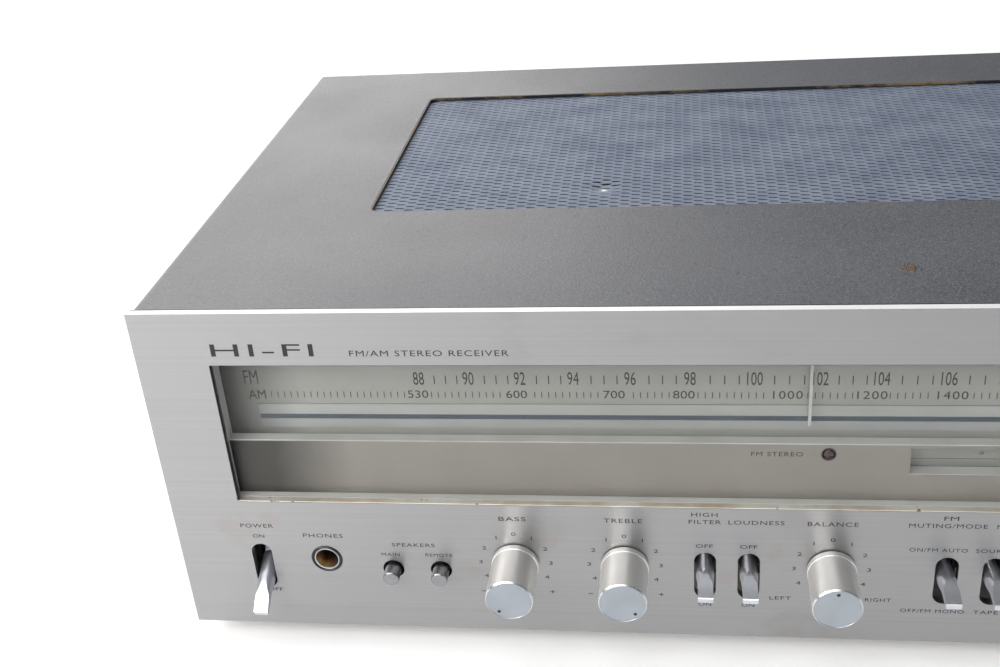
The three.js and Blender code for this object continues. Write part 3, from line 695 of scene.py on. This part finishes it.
# ---- dial window ----
LEDGE_DROP = 54.35
DIAL_Y = 10
LOWER_Y = 6
LAMP = (234.7, LOWER_Y, 58.2)
METER_MARK, METER_PITCH = 285, 5.2
AM_TICK, AM_PITCH, AM_END = 42.5, 2.4, 303
FM_MARKS = ((88, 96.15), (90, 113.46), (92, 131.25), (94, 149.51), (96, 168.72), (98, 188.65),
            (100, 209.61), (102, 230.9), (104, 250.45), (106, 271.58), (108, 292.5))
AM_MARKS = ((530, 95.3), (600, 129.8), (700, 163.15), (800, 186.6), (1000, 220.4), (1200, 247.6),
            (1400, 273.1), (1600, 296.8))


def dial():
    right = WINDOW[1] + 0.5
    words = [(str(mark), x, 31.0, 5.0, 1.25 * len(str(mark)) + 1.35) for mark, x in FM_MARKS]
    words += [("FM", 36.0, 30.4, 5.5, 5.2), ("AM", 37.4, 37.5, 3.6, 6.4), ("MHz", 310, 31, 4.4, 8.4)]
    printing("dial_fm_numerals", words, DIAL_Y, "soft_ink")
    words = [(str(mark), x, 37.3, 3.0, 2.45 * len(str(mark)) - 0.1) for mark, x in AM_MARKS]
    words.append(("kHz", 312, 37.4, 3.1, 8.4))
    printing("dial_am_numerals", words, DIAL_Y, "soft_ink")
    ticks = []
    for (_, start), (_, end) in zip(FM_MARKS, FM_MARKS[1:]):
        for k in (1, 2, 3):
            x = start + (end - start) * (0.09 + 0.2275 * k)
            ticks.append(tick_mesh(x, 31.5, 0.35, 3.4, DIAL_Y))
    spans = [(x - 1.2 * len(str(mark)) - 0.6, x + 1.2 * len(str(mark)) + 0.6) for mark, x in AM_MARKS]
    for k in range(110):
        x = AM_TICK + AM_PITCH * k
        if x < AM_END and not any(low < x < high for low, high in spans):
            ticks.append(tick_mesh(x, 37.5, 0.28, 2.4, DIAL_Y))
    piece("dial_ticks", merged(ticks), "soft_ink")
    # the dark band is painted shade standing in for the pointer's slot in the dial
    bands = (("dial_band_upper", 41.2, 45.4, 0.35, "band"), ("dial_slot_shade", 45.4, 47.3, 0.12, "groove"),
             ("dial_band_lower", 47.35, 51.0, 0.3, "band_dull"))
    for name, top, low, proud, mat in bands:
        block(name, (37.1, right), (DIAL_Y - proud, DIAL_Y - 0.02), (top, low), mat)
    block("dial_ledge", (WINDOW[0] - 1.8, right + 1), (LOWER_Y - 0.18, DIAL_Y - 0.1),
          (LEDGE_DROP - 0.5, LEDGE_DROP - 0.02), "ledge")
    printing("lower_words", [("FM STEREO", 217.6, 58.3, 1.7, 17.2)], LOWER_Y, "ink")


def meter():
    left, right, low, back = 261, 327, 66.2, 11
    top = LEDGE_DROP + 1.15
    face = plate_mesh([rectangle(left + 0.5, right - 0.5, top, low - 0.4), circle(306, 62.2, 1.1, 24)],
                      back - 0.25, back - 0.05)
    finish_piece("meter_face", face, "dial", "dial_silver")
    wall = (LOWER_Y + 0.05, back - 0.3)
    block("meter_wall_left", (left + 0.03, left + 0.4), wall, (top, low - 0.4), "dial")
    block("meter_wall_right", (right - 0.4, right - 0.03), wall, (top, low - 0.4), "dial")
    block("meter_wall_low", (left + 0.03, right - 0.03), wall, (low - 0.36, low - 0.03), "ledge")
    rows = [(left + 28, 62.7, 55, 0.16)]
    rows += [(METER_MARK + METER_PITCH * k, 58.2, 0.25, 1.6) for k in range(9)]
    rows.append((305.8, 57.3, 42, 0.2))
    marks = [tick_mesh(*row, back - 0.25, 0.02) for row in rows]
    piece("meter_scale", merged(marks), "soft_ink")
    numerals = [(str(k), METER_MARK + METER_PITCH * k, 60.4, 1.3) for k in range(0, 9, 2)]
    printing("meter_numerals", numerals, back - 0.25, "soft_ink")
    lens = [(0, -0.62), (0.8, -0.56), (1.35, -0.35), (1.68, -0.05), (1.82, 0.4), (1.82, 8), (0, 8)]
    lathe("stereo_lens", lens, at(*LAMP), "lamp", "red_lamp", replaces=["stereo_lamp"], sharp=50)
    bezel = [(2.05, -0.12), (2.45, -0.12), (2.5, -0.02), (2.05, -0.02)]
    lathe("stereo_lens_ring", bezel, at(*LAMP), "black")


# ---- knobs ----
def knob(name, x, drop, radius, reach, dot):
    centre = at(x, 0, drop)
    base, chamfer, hollow = 0.5, 0.5, 3.3
    side = radius - 0.12
    face = radius - chamfer - 0.05
    body = [
        (hollow, -base), (radius - 0.25, -base), (radius, -base - 0.25), (radius, -2.75),
        (radius - 0.14, -2.85), (radius - 0.32, -2.95), (radius - 0.32, -3.3), (side, -3.45),
        (side, -reach + chamfer), (face, -reach), (face - 0.12, -reach), (face - 0.22, -reach + 0.12),
        (0, -reach + 0.12), (0, -reach + 4), (hollow, -reach + 4),
    ]
    mesh = lathe(f"{name}_knob_turned", body, centre, "knob", "satin_aluminium", name, segments=96,
                 sharp=28, replaces=[f"{name}_knob"]).data
    mesh.materials.append(MAT["knob_face"])
    mesh.materials.append(MAT["bright_edge"])
    for polygon in mesh.polygons:
        out = at_y(0) - polygon.center.y
        from_axis = math.hypot(polygon.center.x - centre.x, polygon.center.z - centre.z)
        if out > (reach - 0.2) * MM and from_axis < (face - 0.05) * MM:
            polygon.material_index = 1
        elif out > (reach - chamfer + 0.05) * MM and from_axis > (face - 0.3) * MM:
            polygon.material_index = 2
    a = math.radians(dot)
    spot = radius * (0.72 if radius < 20 else 0.8)  # nearer the rim on the tuning knob
    place = at(x + spot * math.sin(a), 0, drop - spot * math.cos(a))
    mark = [(0, -reach), (0.5, -reach), (0.62, -reach + 0.1), (0.62, -reach + 0.6), (0, -reach + 0.6)]
    lathe(f"{name}_knob_dot", mark, place, "ink", body=name, segments=24)


def knobs():
    for name, measures in KNOBS.items():
        knob(name, *measures)


# ---- levers ----
LEVER_UP, LEVER_THROW = 5.5, 31.6  # degrees
LEVER_PIVOT_Y = 12


def lever_mesh():
    """A lever pointing straight out, as (side, distance out, height) points in millimetres."""
    radius, shoulder, reach, half, bottom, top = 3.2, 14.5, 27.3, 2.7, -2.1, -0.2
    count = 64
    stations = [3.5, 9, shoulder, *np.arange(shoulder + 0.5, reach - 0.3, 0.5), reach - 0.25, reach]
    verts = []
    for s in stations:
        t = max(0.0, (s - shoulder) / (reach - shoulder))
        slope = radius + (top - radius) * t ** 1.45
        power = 2 / (2 + 9 * max(0.0, (t - 0.35) / 0.65) ** 1.3)
        pinch = 0.2 if s == reach else 0.0
        wide = radius + (half - radius) * t - 0.3 * math.sin(math.pi * t) - pinch
        low = -radius + (bottom + radius) * t + pinch
        for i in range(count):
            a = 2 * math.pi * i / count
            side = math.copysign(abs(math.cos(a)) ** power, math.cos(a)) * wide
            up = math.copysign(abs(math.sin(a)) ** power, math.sin(a))
            up = up * radius if up > 0 else -up * low
            verts.append((side, s, min(up, slope - pinch)))
    faces = band_faces(len(stations), count)
    faces.append(tuple(range(count)))
    faces.append(tuple(range(len(verts) - count, len(verts))))
    hub_profile = [(1.25, -2), (4.2, -2), (4.6, -1.7), (4.6, 1.7), (4.2, 2), (1.25, 2)]
    hub, hub_faces = lathe_mesh(hub_profile, Vector((0, 0, 0)), 48, "X")
    hub = [v / MM for v in hub]
    return merged([(verts, faces), (hub, hub_faces)])


def levers():
    shape, faces = lever_mesh()
    for name, x in LEVER_X.items():
        angle = math.radians(LEVER_UP - LEVER_THROW if name == "power" else LEVER_UP)
        verts = []
        for side, out, up in shape:
            forward = out * math.cos(angle) - up * math.sin(angle)
            height = out * math.sin(angle) + up * math.cos(angle)
            verts.append(at(x + side, LEVER_PIVOT_Y - forward, SLOT_DROP - height))
        piece(f"{name}_lever_bar", (verts, faces), "chrome", "chrome", name, sharp=14,
              replaces=[f"{name}_lever"])


# ---- buttons and headphone socket ----
def buttons():
    for name, x in BUTTON_X.items():
        centre = at(x, 0, BUTTON_DROP)
        profile = [(0, -5.95), (0.5, -6.02), (0.9, -6.16), (2.35, -6.2), (2.62, -6.12), (2.86, -5.85),
                   (3, -5.5), (3, -0.4), (2.8, -0.2), (2.8, 9), (1.6, 9), (1.6, 22), (0, 22)]
        segments = 112
        verts, faces = lathe_mesh(profile, centre, segments)
        for v in verts:
            r = Vector((v.x - centre.x, v.z - centre.z))
            if 2.9 * MM < r.length and -5.6 * MM < v.y - centre.y < -0.3 * MM:
                turn = round(math.atan2(r.y, r.x) / (2 * math.pi / segments))
                shrink = 1.0 if turn % 2 else 0.958
                v.x, v.z = centre.x + r.x * shrink, centre.z + r.y * shrink
        piece(f"{name}_knurled", (verts, faces), "button", "satin_aluminium", name, sharp=20,
              replaces=[f"{name}_button"])


def jack():
    centre = at(JACK_X, 0, JACK_DROP)
    collar = [(4.2, 0.1), (4.35, -0.15), (4.62, -0.18), (4.8, 0.05), (4.8, 6), (4.2, 6)]
    lathe("phones_collar", collar, centre, "chrome", "chrome", replaces=["phones_jack"], segments=96)
    rim = [(4.9, -0.2), (5.1, -0.4), (5.5, -0.45), (5.8, -0.15), (5.8, 4), (4.9, 4)]
    lathe("phones_rim", rim, centre, "dark_steel", segments=96)
    sleeve = [(4.12, 0.35), (3.85, 1.3), (3.35, 2.6), (3.05, 4.2), (3.05, 33), (0, 33), (0, 34), (3.3, 34),
              (3.3, 6.2), (3.8, 4.2), (4.12, 1.7)]
    lathe("phones_sleeve", sleeve, centre, "dull_brass", "chrome", segments=96)
    outline = rectangle(JACK_X - 7.5, JACK_X + 7.5, JACK_DROP - 8, JACK_DROP + 8, 0.8)
    body = plate_mesh([outline, circle(JACK_X, JACK_DROP, 3.4)], 6.25, 33.5)
    finish_piece("phones_body", body, "black")


# ---- cover with its vent ----
COVER_BACK = 264
SHEET = 1.2


def vent_outline(outset=0.0, radius=4.0):
    """The vent's rounded outline as (across, back) millimetres."""
    left, right, front, back = VENT
    return rectangle(left - outset, right + outset, front - outset, back + outset, radius, 8)


def cover():
    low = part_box("top_cover")[0]
    front = (low.y - PLATE_LOW.y) / MM
    drop = (PLATE_HIGH.z - low.z) / MM
    bend = 3.0
    shape = bmesh.new()

    def vert(x, y, z):
        return shape.verts.new(at(x, y, z))

    corners = [vert(bend, front, COVER_TOP), vert(PLATE_WIDTH - bend, front, COVER_TOP),
               vert(PLATE_WIDTH - bend, COVER_BACK, COVER_TOP), vert(bend, COVER_BACK, COVER_TOP)]
    hole = [vert(x, y, COVER_TOP) for x, y in vent_outline()]
    edges = []
    for loop in (corners, hole):
        edges += [shape.edges.new((a, b)) for a, b in zip(loop, loop[1:] + loop[:1])]
    bmesh.ops.triangle_fill(shape, edges=edges, use_beauty=True)
    for side in (-1, 1):
        centre = bend if side < 0 else PLATE_WIDTH - bend
        pair = (corners[0], corners[3]) if side < 0 else (corners[1], corners[2])
        steps = [(centre + side * bend * math.sin(a), COVER_TOP + bend - bend * math.cos(a))
                 for a in np.radians(range(10, 91, 10))]
        steps.append((centre + side * bend, drop))
        for x, z in steps:
            fresh = (vert(x, front, z), vert(x, COVER_BACK, z))
            shape.faces.new((pair[0], pair[1], fresh[1], fresh[0]))
            pair = fresh
    bmesh.ops.recalc_face_normals(shape, faces=shape.faces)
    mesh = bpy.data.meshes.new("cover")
    shape.to_mesh(mesh)
    shape.free()
    if sum(p.normal.z * p.area for p in mesh.polygons) < 0:
        mesh.flip_normals()
    made = finish_piece("cover_sheet", mesh, "cover", "grey_paint", replaces=["top_cover"])
    modifier = made.modifiers.new("sheet", "SOLIDIFY")
    modifier.thickness = SHEET * MM
    modifier.offset = -1
    bevelled(made, 0.3)


def cover_seal():
    """Thin dark strip between the front plate and the cover: a painted shadow of the gap between them."""
    block("cover_seal", (0.6, PLATE_WIDTH - 0.6), (PLATE_THICKNESS + 0.06, PLATE_THICKNESS + 1.5),
          (COVER_TOP - 0.1, COVER_TOP + 0.02), "black", "black_plastic", 0.03)


def grille():
    """Expanded metal: zigzag strands whose flats meet in staggered bonds."""
    low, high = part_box("top_grille")
    pitch, period, bond, half_width, half_thick = 4.0, 3.6, 1.2, 0.51, 0.17
    tilt = math.radians(18)
    rise = (period / 2 - 2 * half_width * math.cos(tilt)) / 2
    level = middle("top_grille").z
    dent = at(*DENT[:2], 0)
    x0, x1 = low.x / MM + 0.3, high.x / MM - 0.3
    y0, y1 = low.y / MM + 1.5, high.y / MM - 1.5
    rows = int((y1 - y0) / (period / 2))
    columns = int((x1 - x0) / pitch)
    parts = []
    flat = [(a * half_width, b * half_thick) for a, b in ((-1, -1), (1, -1), (1, 1), (-1, 1))]
    section = [(a * math.cos(tilt) - b * math.sin(tilt), a * math.sin(tilt) + b * math.cos(tilt))
               for a, b in flat]
    for row in range(rows + 1):
        y = y0 + row * period / 2
        line = []
        for column in range(columns + 1):
            shift = rise if (row + column) % 2 else -rise
            x = x0 + column * pitch
            line += [(x - bond, y + shift), (x + bond, y + shift)]
        verts = []
        for x, yy in line:
            away = (Vector((x * MM, yy * MM)) - dent.xy).length / MM
            sag = -DENT[2] * math.exp(-(away / DENT[3]) ** 2)
            for a, b in section:
                verts.append(Vector((x * MM, (yy + a) * MM, level + (b + sag) * MM)))
        last = range(len(verts) - 4, len(verts))
        parts.append((verts, [(0, 3, 2, 1)] + band_faces(len(line), 4) + [tuple(last)]))
    piece("vent_mesh", merged(parts), "grille", "grille_metal", replaces=["top_grille"], sharp=30)


def vent_edge():
    """Rim lining the opening's cut edge, dark and rubbed to yellowish brown in places."""
    outer, inner = vent_outline(-0.02), vent_outline(-0.34, 3.7)
    low, high = SHEET + COVER_TOP - 0.05, COVER_TOP + 0.12
    verts = []
    for outline, z in ((outer, low), (outer, high), (inner, high), (inner, low)):
        verts += [at(x, y, z) for x, y in outline]
    piece("vent_rim", (verts, band_faces(4, len(outer), wrap=True)), "rim", "grey_paint", sharp=30)


# ---- screws ----
def screw_mesh(radius):
    """A pan-head screw with a cross recess, standing on the origin along +Z, in millimetres."""
    shape = bmesh.new()
    count = 32
    rings = []
    for share, height in ((1, 0), (1, 0.2), (0.94, 0.36), (0.8, 0.47), (0.6, 0.52)):
        ring = radius * share
        rings.append([shape.verts.new((ring * math.cos(a), ring * math.sin(a), height * radius))
                      for a in around(count)])
    for low, high in zip(rings, rings[1:]):
        for i in range(count):
            j = (i + 1) % count
            shape.faces.new((low[i], low[j], high[j], high[i]))
    shape.faces.new(list(reversed(rings[0])))
    w, r = 0.11 * radius, 0.5 * radius
    outline = [(w, w), (r, w), (r, -w), (w, -w), (w, -r), (-w, -r), (-w, -w), (-r, -w), (-r, w), (-w, w),
               (-w, r), (w, r)]
    upper = [shape.verts.new((x, y, 0.52 * radius)) for x, y in outline]
    lower = [shape.verts.new((0.8 * x, 0.8 * y, 0.2 * radius)) for x, y in outline]
    for i in range(len(outline)):
        j = (i + 1) % len(outline)
        shape.faces.new((upper[i], upper[j], lower[j], lower[i]))
    shape.faces.new(lower)
    edges = []
    for loop in (rings[-1], upper):
        for pair in zip(loop, loop[1:] + loop[:1]):
            edges.append(shape.edges.get(pair) or shape.edges.new(pair))
    bmesh.ops.triangle_fill(shape, edges=edges, use_beauty=True)
    shape.verts.index_update()
    verts = [v.co.copy() for v in shape.verts]
    faces = [tuple(v.index for v in f.verts) for f in shape.faces]
    shape.free()
    return verts, faces


def screws(name, places, radius, direction=(0, 1, 0), mat="steel"):
    """Screw heads at the given points, their heads facing along direction."""
    turn = Vector((0, 0, 1)).rotation_difference(Vector(direction)).to_matrix()
    verts, faces = screw_mesh(radius)
    parts = []
    for k, place in enumerate(places):
        twist = Matrix.Rotation(0.5 + 1.3 * k, 3, "Z")  # each cross stands at its own angle
        parts.append(([place + turn @ (twist @ v) * MM for v in verts], faces))
    piece(name, merged(parts), mat, "zinc_steel", sharp=30)


# ---- back panel: places are the object's own X and Z in millimetres ----
REAR_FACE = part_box("rear_panel")[1].y
PHONO_PITCH, PHONO_PANEL = 18, 1.6
TERMINAL_PITCH = 14


def rear_at(x, z, out=0.0):
    return Vector((x * MM, REAR_FACE + out * MM, z * MM))


def rear_words(name, lines):
    """Words that read correctly from behind: (text, x, z, letter height[, letter width share])."""
    parts = []
    for text, x, z, height, *wide in lines:
        verts, faces = letters(text, height)
        stretch = height / CAP_HEIGHT * (wide[0] if wide else REAR_LETTERS)
        foot = z - height / 2
        parts.append(([rear_at(x - side * stretch, foot + up, out) for side, up, out in verts], faces))
    piece(name, merged(parts), "ink")


def rear_fittings():
    rear_words("rear_labels", [
        ("ANTENNA", 118, 121.5, 3.2), ("FM 300", 104, 94, 2.2), ("AM", 125, 94, 2.2), ("GND", 139, 94, 2.2),
        ("SPEAKERS", 136, 65.5, 3.2), ("MAIN", 108, 35.5, 2.4), ("REMOTE", 164, 35.5, 2.4),
        ("PHONO", -18, 127.5, 2.0), ("AUX", 0, 127.5, 2.0), ("TAPE", 18, 127.5, 2.0),
        ("REC", 36, 127.5, 2.0), ("MONITOR", 54, 127.5, 1.7, 0.95), ("LEFT", 72.5, 114, 2.0, 0.95),
        ("RIGHT", 73, 96, 2.0, 0.95),
        ("AC IN", -175, 55, 2.8), ("AM ANTENNA", -150, 104, 2.6),
    ])
    insulator = [(4.4, 1.65), (6.2, 1.65), (6.2, 2.3), (5.9, 2.6), (4.4, 2.6)]
    shell = [(3.3, 1.7), (4.15, 1.7), (4.15, 9.3), (3.95, 9.95), (3.6, 10.05), (3.3, 9.8)]
    core = [(1.7, 1.7), (3.25, 1.7), (3.25, 8.4), (1.9, 8.4), (1.7, 8.0)]
    for k in range(5):
        for kind, z, mat, slot in (("upper", 114, "white", "white_paint"),
                                   ("lower", 96, "red", "red_lamp")):
            place = rear_at(PHONO_PITCH * (k - 1), z)
            lathe(f"phono_{kind}_ring_{k}", insulator, place, mat, slot, segments=40)
            lathe(f"phono_{kind}_shell_{k}", shell, place, "brass", "chrome", segments=48)
            lathe(f"phono_{kind}_core_{k}", core, place, "black", segments=32)
    plate_low, plate_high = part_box("phono_sockets")
    panel = box_mesh(plate_low, Vector((plate_high.x, REAR_FACE + PHONO_PANEL * MM, plate_high.z)))
    bevelled(piece("phono_panel", panel, "black", replaces=["phono_sockets"]), 0.3)
    screws("phono_rivets", [rear_at(x, 105, PHONO_PANEL) for x in (-27, 63)], 1.5)
    for name, x0, count, z in (("speaker", 80, 8, 50), ("antenna_lead", 90, 4, 108)):
        middles = [x0 + (k + 0.5) * TERMINAL_PITCH for k in range(count)]
        screws(f"{name}_screws", [rear_at(x, z, 9.9) for x in middles], 3.3, mat="brass")
        plates = [box_mesh(rear_at(x - 4.6, z - 7.5, 7.02), rear_at(x + 4.6, z + 7.5, 7.6))
                  for x in middles]
        bevelled(piece(f"{name}_clamps", merged(plates), "brass", "zinc_steel"), 0.15)
    screws("case_back_screws", [rear_at(x, z) for x in (-205, -85, 85, 205) for z in (17, 137)], 2.8)
    centre = middle("cord_gland")
    centre.y = REAR_FACE
    rings = [(3.6, -6), (5.9, -6), (5.9, 0.05), (8.4, 0.05), (8.5, 0.4), (8.5, 2.4), (8.0, 3)]
    for k in range(4):
        out = 3.2 + 2.1 * k
        r = 7.4 - 0.38 * k
        rings += [(r, out), (r, out + 1.1), (r - 0.9, out + 1.35), (r - 0.9, out + 1.95)]
    rings += [(5.2, 11.5), (3.6, 11.7)]
    lathe("cord_bush", rings, centre, "rubber", "rubber", replaces=["cord_gland"], sharp=40)


def antenna():
    low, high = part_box("antenna_bar")
    radius = (high.y - low.y) / MM / 2
    length = (high.x - low.x) / MM - radius
    hinge = middle("antenna_bar")
    hinge.x = high.x - radius * MM
    bar = [(0, -length), (radius - 2.2, -length), (radius - 0.6, -length + 0.7), (radius, -length + 2.4)]
    for k in range(5):
        groove = -length + 6 + 3 * k
        deep = radius - 0.5
        bar += [(radius, groove), (deep, groove + 0.4), (deep, groove + 1.0), (radius, groove + 1.4)]
    bar += [(radius, -8), (radius - 0.8, -6.8), (0, -6.8)]
    eye = rounded([(2.4, -5.95), (radius - 0.1, -5.95, True), (radius - 0.1, 5.95, True), (2.4, 5.95)], 0.6)
    neck = [(0, -9), (4.4, -9), (4.4, -3.2), (0, -3.2)]
    for name, profile, axis, segments, replaced in (
            ("rod", bar, "X", 64, ["antenna_bar"]), ("eye", eye, "Z", 64, ()), ("neck", neck, "X", 40, ())):
        lathe(f"antenna_{name}", profile, hinge, "black", body="antenna", segments=segments, axis=axis,
              replaces=replaced)
    bracket = middle("antenna_bracket") / MM
    screws("antenna_screws", [rear_at(bracket.x, bracket.z + side * 10.6, 1.6) for side in (-1, 1)], 1.7)


def feet():
    for row in ("front", "rear"):
        for side in ("left", "right"):
            name = f"foot_{row}_{side}"
            centre = middle(name)
            centre.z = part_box(name)[0].z
            profile = rounded([(3.4, 9.6), (3.4, 2.2), (5.4, 2.0), (5.6, 0.0), (10.9, 0.0, True),
                               (12, 1.4, True), (12, 9.4, True), (11.3, 9.68)], 0.5)
            lathe(f"{name}_pad", profile, centre, "rubber", "rubber", segments=72, axis="Z",
                  replaces=[name])
            screws(f"{name}_screw", [centre + Vector((0, 0, 3.9 * MM))], 3.0, (0, 0, -1))


def case_screws():
    for side, x, direction in (("left", 0, -1), ("right", PLATE_WIDTH, 1)):
        places = [at(x, y, 112) for y in (34, 232)]
        screws(f"cover_screws_{side}", places, 3.6, (direction, 0, 0), "dark_steel")


# ---- materials of the CAD nodes that stay ----
NODE_LOOKS = {
    "steel": "sub_panel bottom_plate bass_shaft treble_shaft balance_shaft volume_shaft selector_shaft "
             "bass_control treble_control balance_control volume_control selector_switch tuning_shaft "
             "tuning_capacitor antenna_bracket",
    "rear": "rear_panel",
    "dial": "dial_plate",
    "lower": "lower_plate",
    "black": "meter_case power_switch filter_switch mode_switch speaker_switch heat_sink dial_drum "
             "speaker_terminals antenna_terminals meter_needle",
    "chrome": "pointer_rail",
    "white": "dial_pointer",
    "winding": "power_transformer",
    "board": "main_board",
}


def dress_nodes():
    for mat, names in NODE_LOOKS.items():
        for name in names.split():
            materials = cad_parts[name].data.materials
            materials.clear()
            materials.append(MAT[mat])


# ---- floor and light ----
def stage():
    floor = Shader("floor_white", Roughness=0.7, Specular_IOR_Level=0.1, Emission_Strength=0.12,
                   Emission_Color=(1, 1, 1, 1))
    grain = floor.noise(8.0)
    floor.color(grain, rgb(250, 250, 250), rgb(246, 246, 246))
    mesh = bpy.data.meshes.new("floor")
    half = 6.0
    corners = [(-half, -half, 0), (half, -half, 0), (half, half, 0), (-half, half, 0)]
    mesh.from_pydata(corners, [], [(0, 1, 2, 3)])
    mesh.materials.append(floor.material)
    made = linked("floor", mesh)


def area_light(name, place, target, width, height, power, tint=(1, 1, 1)):
    data = bpy.data.lights.new(name, "AREA")
    data.shape = "RECTANGLE"
    data.size = width
    data.size_y = height
    data.energy = power
    data.color = tint
    made = linked(name, data)
    made.location = place
    made.rotation_euler = (Vector(target) - Vector(place)).to_track_quat("-Z", "Y").to_euler()


def lighting():
    world = bpy.data.worlds.new("studio")
    bpy.context.scene.world = world
    world.use_nodes = True
    background = world.node_tree.nodes["Background"]
    background.inputs["Color"].default_value = (0.9, 0.94, 1.0, 1.0)
    background.inputs["Strength"].default_value = 0.27
    area_light("overhead", (-0.6, 0.2, 2.2), (-0.1, 0, 0), 2.2, 2.0, 18)
    area_light("back_left", (-1.2, 2.15, 1.05), (-0.1, 0.1, 0.1), 2.2, 1.7, 42, (1.0, 0.97, 0.94))
    area_light("front_left", (-0.8, -0.7, 0.6), (-0.1, -0.2, 0.05), 0.5, 0.5, 6, (1.0, 0.98, 0.96))
    area_light("front_top", (-0.5, -1.7, 1.7), (0, -0.1, 0.05), 1.8, 1.2, 26)
    view = bpy.context.scene.view_settings
    view.view_transform = "Standard"
    view.look = "None"


for build in (make_camera, front_plate, window_surround, plate_words, dial, meter, knobs, levers, buttons,
              jack, cover, cover_seal, grille, vent_edge, rear_fittings, antenna, feet, case_screws,
              dress_nodes, stage, lighting):
    build()
